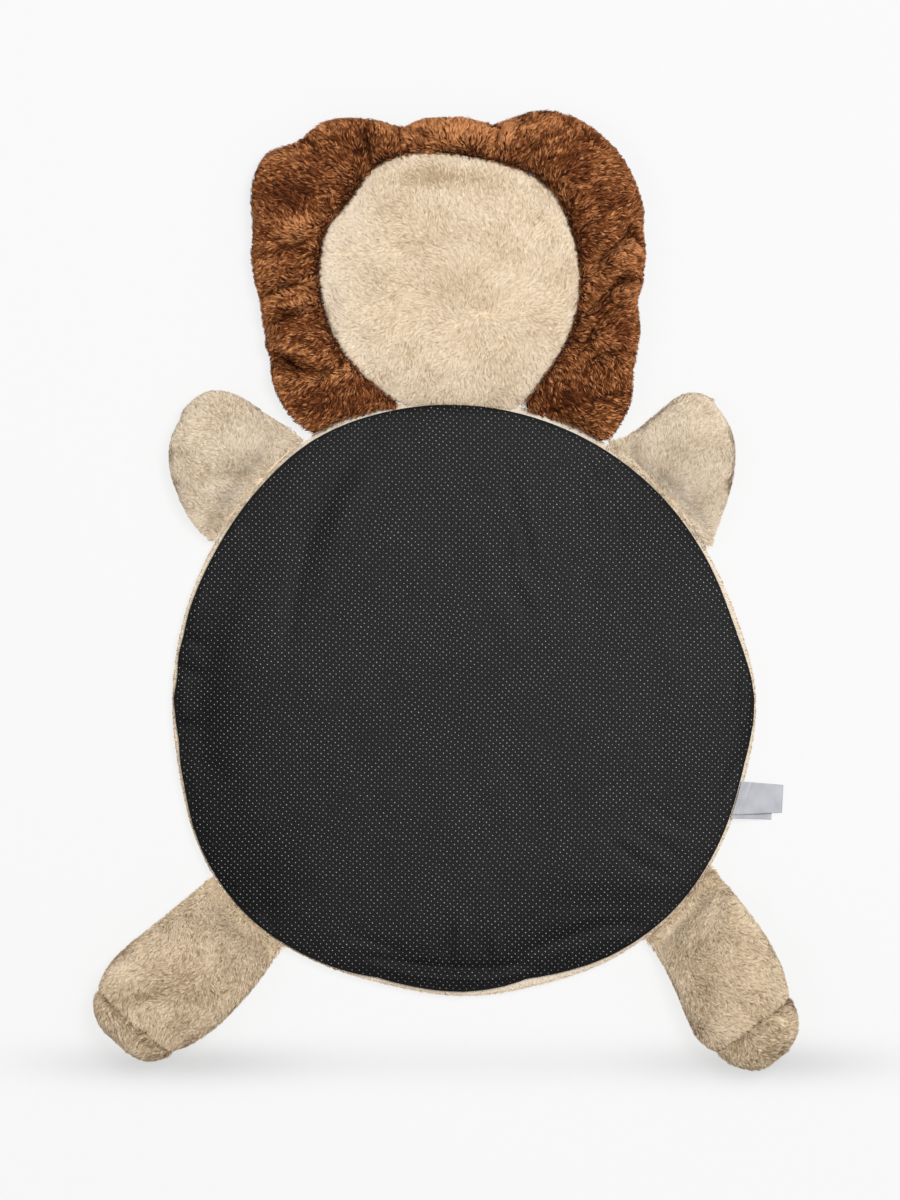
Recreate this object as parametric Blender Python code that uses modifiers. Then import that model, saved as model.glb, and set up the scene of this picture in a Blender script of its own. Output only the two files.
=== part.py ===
"""A lion-shaped plush play mat, lying face down with its non-slip underside up.

Sizes are in millimetres in the tables and in metres everywhere else. The origin
is on the floor under the centre of the round mat, +Y runs from the feet to the
head, +X to the right of the underside and +Z up, out of the non-slip panel.
"""

import bisect
import math
from collections import namedtuple

import bmesh
import bpy
from mathutils import Vector

MM = 0.001

# Driving sizes. A seam's height is where the upper and the lower cloth meet, and
# a crown is how far the filling lifts the upper cloth above that.
SEWN_GAP = 0.5 * MM  # air between two pieces that are sewn along a seam
PAD_SEAM_HEIGHT = 12 * MM
PAD_PANEL_HEIGHT = 16 * MM  # where the panel's edge lies on the pad
PAD_CROWN = 13 * MM  # from the panel's edge up to the middle of the pad
PAD_FIRMNESS = 5  # power of the pad's crown: the higher, the flatter its middle
PAD_LEVEL = 1.004  # the crown is cut off level where it would reach this share
PANEL_THICKNESS = 1.5 * MM
PANEL_CLEARANCE = 0.4 * MM
PANEL_EDGE_ROUND = 0.7 * MM
HEAD_CENTRE = Vector((-13.5 * MM, 415.5 * MM, 0))
HEAD_SEAM_HEIGHT = 30 * MM
HEAD_CROWN = 36 * MM
MANE_OUTER_HEIGHT = 19 * MM
MANE_CROWN = 25 * MM
SEAM_RISE = 60 * MM  # way out from the mat over which a seam comes to its height
ARM_SEAM_HEIGHT = 20 * MM
ARM_CROWN = 23 * MM
LEG_SEAM_HEIGHT = 31 * MM
LEG_CROWN = 35 * MM
LABEL_THICKNESS = 1 * MM
MERGE = 0.01 * MM

# The round mat's edge, by direction from its centre (degrees from +X towards +Y):
# how far out the black panel reaches there, and the plush round it.
Rim = namedtuple("Rim", "direction panel plush")
RIM = (
    Rim(0, 291.0, 293.5),
    Rim(15, 280.5, 286.5),
    Rim(30, 280.5, 285.0),
    Rim(45, 283.0, 284.5),
    Rim(60, 286.0, 290.5),
    Rim(75, 289.5, 296.0),
    Rim(90, 293.5, 295.0),
    Rim(105, 297.0, 301.5),
    Rim(120, 299.0, 303.0),
    Rim(135, 293.0, 294.5),
    Rim(150, 288.5, 294.0),
    Rim(165, 288.5, 292.0),
    Rim(180, 290.0, 292.0),
    Rim(195, 291.5, 295.0),
    Rim(210, 302.5, 304.5),
    Rim(225, 306.5, 308.0),
    Rim(240, 301.0, 303.0),
    Rim(255, 293.0, 297.5),
    Rim(270, 293.5, 299.0),
    Rim(285, 289.5, 298.0),
    Rim(300, 296.5, 301.5),
    Rim(315, 298.5, 300.0),
    Rim(330, 294.0, 297.5),
    Rim(345, 288.5, 293.5),
)

# Places where the panel's edge is drawn in at its seam.
Tuck = namedtuple("Tuck", "direction spread depth")
TUCKS = (
    Tuck(167, 3.0, 1.5),
    Tuck(175, 2.5, 2.5),
    Tuck(187, 3.0, 3.0),
    Tuck(253, 3.0, 1.5),
    Tuck(283, 3.0, 2.0),
)

# The fold that the panel rolls up into beside its edge at the foot end.
Roll = namedtuple("Roll", "first last reach width height")
ROLL = Roll(first=252, last=286, reach=0.955, width=0.02, height=3.5)

# Rings from the middle of the panel to its edge, as shares of its reach.
PANEL_RINGS = (0.32, 0.62, 0.81, 0.91, 0.955, 0.985, 1.0)
DISC_SPOKES = 84

# The pad below and at its side: a ring's share of the plush's reach, how far in
# from there it lies, and its height.
PadRing = namedtuple("PadRing", "share inset height")
PAD_SIDE = (
    PadRing(0.5, 0, 0.0),
    PadRing(1.0, 26, 0.0),
    PadRing(1.0, 11, 1.8),
    PadRing(1.0, 3, 6.0),
    PadRing(1.0, 0, 11.0),
)

# The seam round the back of the head, by direction from the head's centre.
Seam = namedtuple("Seam", "direction reach")
HEAD_SEAM = (
    Seam(-60, 139.5),
    Seam(-44, 131.0),
    Seam(-23, 129.5),
    Seam(0, 129.0),
    Seam(23, 130.3),
    Seam(43, 136.0),
    Seam(60, 130.0),
    Seam(83, 125.0),
    Seam(107, 133.0),
    Seam(125, 136.0),
    Seam(133, 130.5),
    Seam(141, 126.5),
    Seam(149, 129.5),
    Seam(157, 133.0),
    Seam(166, 131.5),
    Seam(186, 128.2),
    Seam(209, 126.7),
    Seam(231, 126.0),
    Seam(250.5, 131.5),
)
NECK_RIGHT = 79.2  # directions from the mat's centre
NECK_LEFT = 101.3
CORNER_BEND = 12  # degrees of the head's seam that turn towards a neck corner
HEAD_SPOKES = 48
NECK_SPOKES = 8
HEAD_RINGS = 16

# The mane's gathers from its right end round to its left: where each leaves the
# head's seam (direction from the head's centre), where it ends outside, and how
# deep a crease lies along it. Where there is none, the mane swells into a lobe.
Gather = namedtuple("Gather", "seam_direction outer_x outer_y crease")
MANE = (
    Gather(-54, 157.0, 272.0, 0),
    Gather(-49, 170.0, 300.0, 8),
    Gather(-41, 172.0, 324.0, 0),
    Gather(-33, 175.5, 344.0, 12),
    Gather(-28, 179.0, 368.0, 0),
    Gather(-23, 175.0, 398.5, 11),
    Gather(-19, 179.5, 412.0, 0),
    Gather(-14, 182.5, 433.0, 15),
    Gather(-5, 184.0, 450.0, 0),
    Gather(7, 181.5, 470.0, 10),
    Gather(15, 181.5, 489.0, 0),
    Gather(24, 173.5, 515.0, 2),
    Gather(33, 160.5, 540.0, 0),
    Gather(42, 141.0, 562.0, 3),
    Gather(50, 115.0, 580.0, 0),
    Gather(57, 89.0, 588.0, 9),
    Gather(63, 62.0, 586.0, 0),
    Gather(70, 29.0, 573.0, 15),
    Gather(77, 4.0, 581.0, 0),
    Gather(86, -20.0, 580.5, 2),
    Gather(97, -43.0, 579.5, 7),
    Gather(108, -61.0, 570.0, 14),
    Gather(115, -80.0, 576.5, 0),
    Gather(122, -99.0, 580.0, 12),
    Gather(129, -122.0, 580.5, 0),
    Gather(135, -146.0, 576.0, 0),
    Gather(140, -167.5, 557.5, 7),
    Gather(146, -194.0, 550.0, 0),
    Gather(151, -208.0, 529.0, 0),
    Gather(155, -214.0, 503.0, 3),
    Gather(159, -213.0, 477.0, 0),
    Gather(163, -213.0, 455.0, 8),
    Gather(167, -214.0, 444.0, 0),
    Gather(171, -212.5, 430.0, 9),
    Gather(176, -209.0, 412.0, 0),
    Gather(181, -204.0, 397.0, 14),
    Gather(188, -203.0, 380.0, 0),
    Gather(197, -199.5, 364.0, 11),
    Gather(206, -200.0, 354.0, 0),
    Gather(216, -195.0, 341.0, 16),
    Gather(228, -193.5, 322.0, 0),
    Gather(236, -186.0, 300.0, 4),
    Gather(243, -171.0, 279.0, 0),
)
CREASE_WIDTH = 0.5  # of the step from one gather to the next
ROWS_PER_GATHER = 2
MANE_RIGHT_CORNER = 61.3  # directions from the mat's centre
MANE_LEFT_CORNER = 119.8
MANE_COLUMNS = 18
MANE_END = 0.05  # share of the mane over which each end narrows to its seam

# Limbs are rows of sections from the root at the mat's seam to the far end: the
# ends of each section in plan, and how full it is.
Section = namedtuple("Section", "left_x left_y right_x right_y fullness")
ARM_LEFT = (
    Section(-253, 157, -159, 262, 0.0),
    Section(-260, 161, -176, 275, 0.52),
    Section(-270, 171, -195, 287, 0.82),
    Section(-281, 188, -217, 302, 1.0),
    Section(-289, 208, -235, 309, 0.97),
    Section(-295, 229, -251, 310, 0.86),
    Section(-295, 248, -267, 303, 0.62),
    Section(-292, 264, -282, 288, 0.0),
)
ARM_RIGHT = (
    Section(141, 253, 247, 151, 0.0),
    Section(157, 261, 254, 163, 0.52),
    Section(177, 274, 261, 183, 0.82),
    Section(194, 287, 268, 205, 1.0),
    Section(209, 301, 272, 226, 0.97),
    Section(223, 307, 273, 246, 0.86),
    Section(237, 305.5, 270, 264, 0.62),
    Section(250, 300, 263, 281, 0.0),
)
LEG_LEFT = (
    Section(-251, -176, -181, -251, 0.0),
    Section(-273, -193, -194, -272, 0.58),
    Section(-303, -220, -212, -294, 0.88),
    Section(-330, -240, -228, -311, 1.0),
    Section(-354, -263, -251, -334, 1.0),
    Section(-367, -288, -287, -355, 0.92),
)
SOLE_LEFT = (
    Section(-367, -288, -287, -355, 0.92),
    Section(-370, -303, -303, -361, 0.88),
    Section(-367, -318, -320, -361, 0.68),
    Section(-359, -332, -337, -352, 0.0),
)
LEG_RIGHT = (
    Section(183, -246, 252, -170, 0.0),
    Section(194, -263, 267, -187, 0.58),
    Section(208, -287, 286, -213, 0.88),
    Section(220, -314, 302, -234, 1.0),
    Section(231, -340, 317, -263, 1.0),
    Section(249, -353, 327, -296, 0.92),
)
SOLE_RIGHT = (
    Section(249, -353, 327, -296, 0.92),
    Section(265, -365, 334, -314, 0.88),
    Section(285, -371, 334, -333, 0.68),
    Section(302, -369, 323, -353, 0.0),
)
LIMB_COLUMNS = 20
TUBE_ROUNDNESS = 0.75  # power of a stuffed section: the lower, the squarer it is
UNDERSIDE = 1.5  # how much deeper than its seam a filled piece would bulge below
ROOT_BEND = 0.22  # share of a limb over which its sections leave the mat's curve
TO_END = (0.0, 0.035, 0.08, 0.15, 0.24, 0.36, 0.5, 0.63, 0.75, 0.85, 0.92, 0.97, 1.0)
TO_SEAM = (0.0, 0.05, 0.12, 0.22, 0.35, 0.5, 0.65, 0.8, 0.92, 1.0)
FROM_SEAM = (0.0, 0.2, 0.42, 0.62, 0.78, 0.9, 0.97, 1.0)
SOLE_SEAM_DRAW = 0.9  # a section's size at the sole's seam, against its neighbours'

# The care label's leaves: the directions between which each is sewn in, its outer
# corners and the heights of its two ends.
LABEL_ROOT = 1.6 * MM  # out from the panel's edge
LABEL_DROOP = 1.35
Leaf = namedtuple("Leaf", "name first last outer inner_height outer_height")
LEAVES = (
    Leaf("label_upper_leaf", -16.6, -23.4, ((321, -87), (319.5, -115)), 18.9, 2.9),
    Leaf("label_under_leaf", -17.6, -24.2, ((310, -94), (309, -122)), 17.5, 1.5),
)

TAN = (0.71, 0.55, 0.39)
TAN_WORN = (0.55, 0.42, 0.29)
BROWN = (0.17, 0.062, 0.024)
BLACK = (0.026, 0.026, 0.027)
WHITE = (0.56, 0.55, 0.60)


def clear_scene():
    for item in list(bpy.data.objects):
        bpy.data.objects.remove(item, do_unlink=True)


def cloth(name, colour, roughness):
    material = bpy.data.materials.new(name)
    material.use_nodes = True
    shader = material.node_tree.nodes["Principled BSDF"]
    shader.inputs["Base Color"].default_value = (*colour, 1.0)
    shader.inputs["Roughness"].default_value = roughness
    shader.inputs["Metallic"].default_value = 0.0
    material.diffuse_color = (*colour, 1.0)
    return material


def add_piece(name, mesh, material, collection):
    data = bpy.data.meshes.new(name)
    mesh.to_mesh(data)
    mesh.free()
    data.materials.append(material)
    data.shade_smooth()
    piece = bpy.data.objects.new(name, data)
    collection.objects.link(piece)
    return piece


def through(places, values):
    """Return a function that runs smoothly through the values at their places."""
    last = len(places) - 1

    def slope(i):
        low = max(i - 1, 0)
        high = min(i + 1, last)
        return (values[high] - values[low]) / (places[high] - places[low])

    def read(place):
        i = min(max(bisect.bisect_right(places, place) - 1, 0), last - 1)
        span = places[i + 1] - places[i]
        t = (place - places[i]) / span
        start = values[i] * (2 * t**3 - 3 * t**2 + 1) + slope(i) * (span * (t**3 - 2 * t**2 + t))
        end = values[i + 1] * (3 * t**2 - 2 * t**3) + slope(i + 1) * (span * (t**3 - t**2))
        return start + end

    return read


def round_the_rim(column):
    """Read one column of the rim's table in any direction."""
    places = [row.direction + turn for turn in (-360, 0, 360) for row in RIM]
    values = [getattr(row, column) * MM for _ in range(3) for row in RIM]
    return through(places, values)


panel_reach = round_the_rim("panel")
plush_reach = round_the_rim("plush")
head_reach = through([row.direction for row in HEAD_SEAM], [row.reach * MM for row in HEAD_SEAM])


def bump(distance, width):
    """A soft hump: 1 in its middle and fading over its width."""
    return math.exp(-((distance / width) ** 2))


def direction_of(point):
    return math.degrees(math.atan2(point.y, point.x)) % 360


def at(direction, reach):
    turn = math.radians(direction)
    return Vector((reach * math.cos(turn), reach * math.sin(turn), 0))


def panel_edge(direction):
    tucked = sum(row.depth * bump(direction - row.direction, row.spread) for row in TUCKS)
    return panel_reach(direction) - tucked * MM


def off_the_rim(direction):
    """A point on the mat's outer edge, a seam's gap outside it."""
    return at(direction, plush_reach(direction) + SEWN_GAP)


def pad_height(share):
    """Height of the pad's upper side at a share of the panel's reach."""
    swell = math.sqrt(max(0.0, 1 - share**PAD_FIRMNESS))
    return PAD_PANEL_HEIGHT + PAD_CROWN * min(1.0, PAD_LEVEL * swell)


def filled(name, material, collection, spokes, rings, place):
    """Model a filled piece from a ball: place() says where each spoke's ring lies."""
    mesh = bmesh.new()
    bmesh.ops.create_uvsphere(mesh, u_segments=spokes, v_segments=rings, radius=1.0)
    for point in mesh.verts:
        spoke = round(math.atan2(point.co.y, point.co.x) / math.tau * spokes) % spokes
        tilt = math.asin(max(-1.0, min(1.0, point.co.z)))
        ring = round((tilt / math.pi + 0.5) * rings)
        point.co = place(spoke, ring)
    return add_piece(name, mesh, material, collection)


def stuffed(name, material, collection, columns, stations, place):
    """Model a stuffed tube from a grid rolled up; an end that is flat is sewn shut."""
    rows = len(stations) - 1
    mesh = bmesh.new()
    bmesh.ops.create_grid(mesh, x_segments=columns, y_segments=rows, size=0.5)
    for point in mesh.verts:
        row = round((point.co.y + 0.5) * rows)
        point.co = place(stations[row], point.co.x + 0.5)
    bmesh.ops.remove_doubles(mesh, verts=mesh.verts, dist=MERGE)
    bmesh.ops.holes_fill(mesh, edges=mesh.edges)
    bmesh.ops.recalc_face_normals(mesh, faces=mesh.faces)
    if mesh.calc_volume(signed=True) < 0:
        bmesh.ops.reverse_faces(mesh, faces=mesh.faces)
    return add_piece(name, mesh, material, collection)


def make_pad(material, collection):
    """The round mat: flat below, drawn in at its side, crowned under the panel."""
    below = len(PAD_SIDE)
    above = (*PANEL_RINGS[::-1], 0.0)

    def place(spoke, ring):
        direction = spoke * 360 / DISC_SPOKES
        if ring == 0:
            return Vector((0, 0, 0))
        if ring <= below:
            row = PAD_SIDE[ring - 1]
            reach = row.share * plush_reach(direction) - row.inset * MM
            return at(direction, reach) + Vector((0, 0, row.height * MM))
        share = above[ring - below - 1]
        return at(direction, share * panel_edge(direction)) + Vector((0, 0, pad_height(share)))

    rings = below + len(above)
    return filled("mat_pad", material, collection, DISC_SPOKES, rings, place)


def roll_height(direction, share):
    """How far the panel's rolled fold stands up at a place on the panel."""
    middle = (ROLL.first + ROLL.last) / 2
    half = (ROLL.last - ROLL.first) / 2
    along = max(0.0, 1 - ((direction - middle) / half) ** 2)
    return ROLL.height * MM * math.sqrt(along) * bump(share - ROLL.reach, ROLL.width)


def make_panel(material, collection):
    """The non-slip sheet that lies over the pad, with its rolled fold and its tucks."""
    below = (0.0, *PANEL_RINGS)
    above = below[::-1]
    edge = len(below)

    def place(spoke, ring):
        direction = spoke * 360 / DISC_SPOKES
        reach = panel_edge(direction)
        if ring == edge:
            height = PAD_PANEL_HEIGHT + PANEL_CLEARANCE + PANEL_THICKNESS / 2
            return at(direction, reach + PANEL_EDGE_ROUND) + Vector((0, 0, height))
        if ring < edge:
            share = below[ring]
            height = pad_height(share) + PANEL_CLEARANCE
        else:
            share = above[ring - edge - 1]
            height = pad_height(share) + PANEL_CLEARANCE + PANEL_THICKNESS
            height += roll_height(direction, share)
        return at(direction, share * reach) + Vector((0, 0, height))

    return filled("base_panel", material, collection, DISC_SPOKES, 2 * edge, place)


def head_edge(spoke):
    """The head's outline: spokes along its seam, then the neck along the mat's edge."""
    seam_spokes = HEAD_SPOKES - NECK_SPOKES
    if spoke <= seam_spokes:
        first = HEAD_SEAM[0].direction
        last = HEAD_SEAM[-1].direction
        return seam_point(first + (last - first) * spoke / seam_spokes)
    share = (spoke - seam_spokes) / NECK_SPOKES
    return off_the_rim(NECK_LEFT + (NECK_RIGHT - NECK_LEFT) * share)


def seam_point(direction, gap=0.0):
    """A point on the head's seam; its two ends meet the neck's corners."""
    point = HEAD_CENTRE + at(direction, head_reach(direction) + gap)
    first = HEAD_SEAM[0].direction
    last = HEAD_SEAM[-1].direction
    right = max(0.0, 1 - (direction - first) / CORNER_BEND)
    left = max(0.0, 1 - (last - direction) / CORNER_BEND)
    right_shift = off_the_rim(NECK_RIGHT) - (HEAD_CENTRE + at(first, head_reach(first)))
    left_shift = off_the_rim(NECK_LEFT) - (HEAD_CENTRE + at(last, head_reach(last)))
    return point + right_shift * right**2 + left_shift * left**2


def ease(t):
    t = min(max(t, 0.0), 1.0)
    return t * t * (3 - 2 * t)


def seam_height(point, full_height):
    """Seams leave the mat's own seam and rise to their full height away from it."""
    clear = (point.length - plush_reach(direction_of(point))) / SEAM_RISE
    return PAD_SEAM_HEIGHT + (full_height - PAD_SEAM_HEIGHT) * ease(clear)


def make_head(material, collection):
    """The stuffed head: a domed back panel, a flat plain front on the floor."""

    def place(spoke, ring):
        tilt = (ring / HEAD_RINGS - 0.5) * math.pi
        share = math.cos(tilt)
        edge = head_edge(spoke)
        point = HEAD_CENTRE.lerp(edge, share)
        seam = seam_height(edge, HEAD_SEAM_HEIGHT)
        inward = max(0.0, 1 - share**4)
        if tilt >= 0:
            dome = max(0.0, 1 - share**2.6) ** 0.6
            point.z = seam + (HEAD_SEAM_HEIGHT - seam) * inward + HEAD_CROWN * dome
        else:
            point.z = max(0.0, seam * (1 - UNDERSIDE * math.sqrt(inward)))
        return point

    return filled("head", material, collection, HEAD_SPOKES, HEAD_RINGS, place)


def across(left, right, share, curved):
    """A point between two, on the mat's curve where curved is 1 and straight where 0."""
    straight = left.lerp(right, share)
    if curved <= 0:
        return straight
    first = direction_of(left)
    last = direction_of(right)
    direction = first + (last - first) * share
    reach = left.length + (right.length - left.length) * share
    rim = off_the_rim(direction).length
    ends = (left.length - off_the_rim(first).length) * (1 - share)
    ends += (right.length - off_the_rim(last).length) * share
    bowed = at(direction, reach + (rim + ends - reach) * curved)
    return straight.lerp(bowed, min(1.0, curved * 1.5))


def section_swell(turn):
    """How full a stuffed section is at a place round it: 0 at its two sides."""
    return abs(math.sin(turn * math.tau)) ** TUBE_ROUNDNESS


def make_mane(material, collection):
    """The gathered band round the head: lobes outside, creases across, flat below."""
    count = len(MANE) + 1
    places = [i / count for i in range(count + 1)]
    directions = [HEAD_SEAM[0].direction] + [row.seam_direction for row in MANE]
    directions.append(HEAD_SEAM[-1].direction)
    outers = [off_the_rim(MANE_RIGHT_CORNER)]
    outers += [Vector((row.outer_x, row.outer_y, 0)) * MM for row in MANE]
    outers.append(off_the_rim(MANE_LEFT_CORNER))
    seam_direction = through(places, directions)
    outer_point = through(places, outers)

    def crease_depth(along):
        steps = along * count - 1
        near = range(max(0, int(steps) - 1), min(len(MANE), int(steps) + 3))
        return sum(MANE[i].crease * MM * bump(steps - i, CREASE_WIDTH) for i in near)

    def place(along, turn):
        inner = seam_point(seam_direction(along), SEWN_GAP)
        outer = outer_point(along)
        share = (1 - math.cos(turn * math.tau)) / 2
        end = min(along, 1 - along) / MANE_END
        point = across(inner, outer, share, 1 - ease(end))
        full = math.sqrt(max(0.0, 1 - (1 - min(end, 1.0)) ** 2))
        seam = seam_height(inner, HEAD_SEAM_HEIGHT) * (1 - share)
        seam += seam_height(outer, MANE_OUTER_HEIGHT) * share
        swell = full * section_swell(turn)
        if turn <= 0.5:
            point.z = seam + swell * (MANE_CROWN - crease_depth(along))
        else:
            point.z = max(0.0, seam * (1 - UNDERSIDE * swell))
        return point

    rows = count * ROWS_PER_GATHER
    stations = [i / rows for i in range(rows + 1)]
    return stuffed("mane", material, collection, MANE_COLUMNS, stations, place)


def make_limb(name, material, collection, sections, stations, seam, crown, rooted, cut):
    """A stuffed limb, or its sole: rooted in the mat's seam at 0, and cut() at its seam."""
    count = len(sections) - 1
    places = [i / count for i in range(count + 1)]
    left_side = through(places, [Vector((row.left_x, row.left_y, 0)) * MM for row in sections])
    right_side = through(places, [Vector((row.right_x, row.right_y, 0)) * MM for row in sections])
    fullness = through(places, [row.fullness for row in sections])

    def place(along, turn):
        left = left_side(along)
        right = right_side(along)
        if rooted and along == 0:
            left = off_the_rim(direction_of(left))
            right = off_the_rim(direction_of(right))
        share = (1 - math.cos(turn * math.tau)) / 2
        curved = 1 - ease(along / ROOT_BEND) if rooted else 0.0
        point = across(left, right, share, curved)
        middle = (left + right) / 2
        size = cut(along)
        point = middle.lerp(point, size)
        swell = max(0.0, fullness(along)) * size * section_swell(turn)
        height = seam_height(middle, seam) if rooted else seam
        if turn <= 0.5:
            point.z = height + crown * swell
        else:
            point.z = max(0.0, height * (1 - UNDERSIDE * swell))
        return point

    return stuffed(name, material, collection, LIMB_COLUMNS, stations, place)


def whole(along):
    return 1.0


def drawn_at_end(along):
    return SOLE_SEAM_DRAW if along == 1 else 1.0


def drawn_at_start(along):
    return SOLE_SEAM_DRAW if along == 0 else 1.0


def parted(sections):
    """Move a sole's sections off the leg by the seam's gap."""
    first = sections[0]
    side = Vector((first.right_x - first.left_x, first.right_y - first.left_y, 0))
    toe = Vector((sections[-1].left_x - first.left_x, sections[-1].left_y - first.left_y, 0))
    away = toe - side * (toe.dot(side) / side.length_squared)
    shift = away.normalized() * (SEWN_GAP / MM)
    return [
        Section(
            row.left_x + shift.x,
            row.left_y + shift.y,
            row.right_x + shift.x,
            row.right_y + shift.y,
            row.fullness,
        )
        for row in sections
    ]


def make_leaf(leaf, material, collection):
    """One leaf of the care label, from the mat's seam out and down to the floor."""
    corners = [Vector((x, y, 0)) * MM for x, y in leaf.outer]
    mesh = bmesh.new()
    bmesh.ops.create_grid(mesh, x_segments=8, y_segments=4, size=0.5)
    for point in mesh.verts:
        out = point.co.x + 0.5
        side = point.co.y + 0.5
        direction = leaf.first + (leaf.last - leaf.first) * side
        inner = at(direction, panel_edge(direction % 360) + LABEL_ROOT)
        spot = inner.lerp(corners[0].lerp(corners[1], side), out)
        drop = leaf.inner_height - leaf.outer_height
        spot.z = (leaf.outer_height + drop * (1 - out) ** LABEL_DROOP) * MM
        point.co = spot
    bmesh.ops.recalc_face_normals(mesh, faces=mesh.faces)
    piece = add_piece(leaf.name, mesh, material, collection)
    wall = piece.modifiers.new("wall", "SOLIDIFY")
    wall.thickness = LABEL_THICKNESS
    wall.offset = 0.0
    return piece


def main():
    clear_scene()
    collection = bpy.data.collections.new("play_mat")
    bpy.context.scene.collection.children.link(collection)
    tan = cloth("tan_plush", TAN, 0.95)
    worn = cloth("tan_plush_legs", TAN_WORN, 0.95)
    brown = cloth("brown_plush", BROWN, 0.95)
    black = cloth("non_slip_fabric", BLACK, 0.85)
    white = cloth("label_satin", WHITE, 0.6)
    make_pad(tan, collection)
    make_panel(black, collection)
    make_head(tan, collection)
    make_mane(brown, collection)
    for name, sections in (("arm_left", ARM_LEFT), ("arm_right", ARM_RIGHT)):
        make_limb(
            name, tan, collection, sections, TO_END, ARM_SEAM_HEIGHT, ARM_CROWN, True, whole
        )
    for side, leg, sole in (("left", LEG_LEFT, SOLE_LEFT), ("right", LEG_RIGHT, SOLE_RIGHT)):
        make_limb(
            f"leg_{side}", worn, collection, leg, TO_SEAM,
            LEG_SEAM_HEIGHT, LEG_CROWN, True, drawn_at_end,
        )
        make_limb(
            f"sole_{side}", worn, collection, parted(sole), FROM_SEAM,
            LEG_SEAM_HEIGHT, LEG_CROWN, False, drawn_at_start,
        )
    for leaf in LEAVES:
        make_leaf(leaf, white, collection)


main()
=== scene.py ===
# %% [markdown]
# This lesson dresses a play mat: a lion-shaped plush mat that lies face down, so that its black
# non-slip underside shows. The solids of the mat are already made and packed. They say where every
# piece is and how big it is, so the first step is to load them. Nothing else is read from disk.

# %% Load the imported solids
import math
from collections import namedtuple

import bmesh
import bpy
import numpy as np
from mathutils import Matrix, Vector, kdtree
from mathutils.bvhtree import BVHTree


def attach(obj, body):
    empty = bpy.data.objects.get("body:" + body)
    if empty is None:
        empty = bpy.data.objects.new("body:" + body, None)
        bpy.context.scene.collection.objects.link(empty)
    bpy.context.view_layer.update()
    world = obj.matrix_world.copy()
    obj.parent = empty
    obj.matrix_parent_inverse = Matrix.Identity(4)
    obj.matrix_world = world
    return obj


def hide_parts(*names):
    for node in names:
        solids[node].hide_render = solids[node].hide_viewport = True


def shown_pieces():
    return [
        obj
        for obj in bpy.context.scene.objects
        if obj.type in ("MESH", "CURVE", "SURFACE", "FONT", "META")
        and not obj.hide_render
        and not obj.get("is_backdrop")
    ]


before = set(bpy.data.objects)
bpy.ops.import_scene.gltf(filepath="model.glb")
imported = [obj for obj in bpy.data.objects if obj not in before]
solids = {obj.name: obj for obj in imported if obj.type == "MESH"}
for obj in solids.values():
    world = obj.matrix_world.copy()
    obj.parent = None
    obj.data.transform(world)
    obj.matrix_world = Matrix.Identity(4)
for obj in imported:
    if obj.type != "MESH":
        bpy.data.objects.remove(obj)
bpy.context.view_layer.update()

MM = 0.001
print("solids:", sorted(solids))

# %% [markdown]
# The photograph was taken from straight above. A long lens from far away keeps the high middle of
# the mat from looking larger than its low edge, so a 150 mm lens hangs five metres up. The picture
# is 1.2 m high at the height of the mat's edge.

# %% Hang the camera
VIEW_CENTRE = Vector((-13.5, 98.5, 20)) * MM
VIEW_LENGTH = 1.2
CAMERA_RISE = 5.0
SENSOR = 36

lens = bpy.data.cameras.new("camera")
lens.sensor_width = SENSOR
lens.lens = SENSOR * CAMERA_RISE / VIEW_LENGTH
camera = bpy.data.objects.new("camera", lens)
camera.location = VIEW_CENTRE + Vector((0, 0, CAMERA_RISE))
bpy.context.scene.collection.objects.link(camera)
bpy.context.scene.camera = camera
print("lens in mm:", lens.lens)

# %% [markdown]
# A studio table gives soft light from all round and a little more from one side. An even pale sky
# does the first. A strong lamp above the right of the head end does the second, and a weak one from
# the left fills its shadows.

# %% Light the table
SKY = 0.50
LAMP_SIZE = 1.3
KEY_POWER = 88
KEY_PLACE = Vector((0.95, 0.9, 3.4))
FILL_POWER = 12
FILL_PLACE = Vector((-2.0, 0.2, 2.6))

scene = bpy.context.scene
scene.view_settings.view_transform = "Standard"
scene.world = bpy.data.worlds.new("sky")
scene.world.use_nodes = True
sky = scene.world.node_tree.nodes["Background"]
sky.inputs["Color"].default_value = (1.0, 1.0, 1.0, 1.0)
sky.inputs["Strength"].default_value = SKY


def hang_lamp(name, place, power):
    """Hang a square lamp that looks at the middle of the mat."""
    light = bpy.data.lights.new(name, "AREA")
    light.energy = power
    light.size = LAMP_SIZE
    lamp = bpy.data.objects.new(name, light)
    lamp.location = place
    lamp.rotation_mode = "QUATERNION"
    lamp.rotation_quaternion = (VIEW_CENTRE - place).to_track_quat("-Z", "Y")
    scene.collection.objects.link(lamp)


hang_lamp("key_lamp", KEY_PLACE, KEY_POWER)
hang_lamp("fill_lamp", FILL_PLACE, FILL_POWER)

# %% [markdown]
# Finishes are built from shader nodes. Linking nodes by hand is slow to read, so one small class
# wraps a socket: the signs + - * / on it add Math nodes, and its node method makes any other node
# from its type, its settings and what goes into its sockets.

# %% Write shader maths as plain sums


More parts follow.
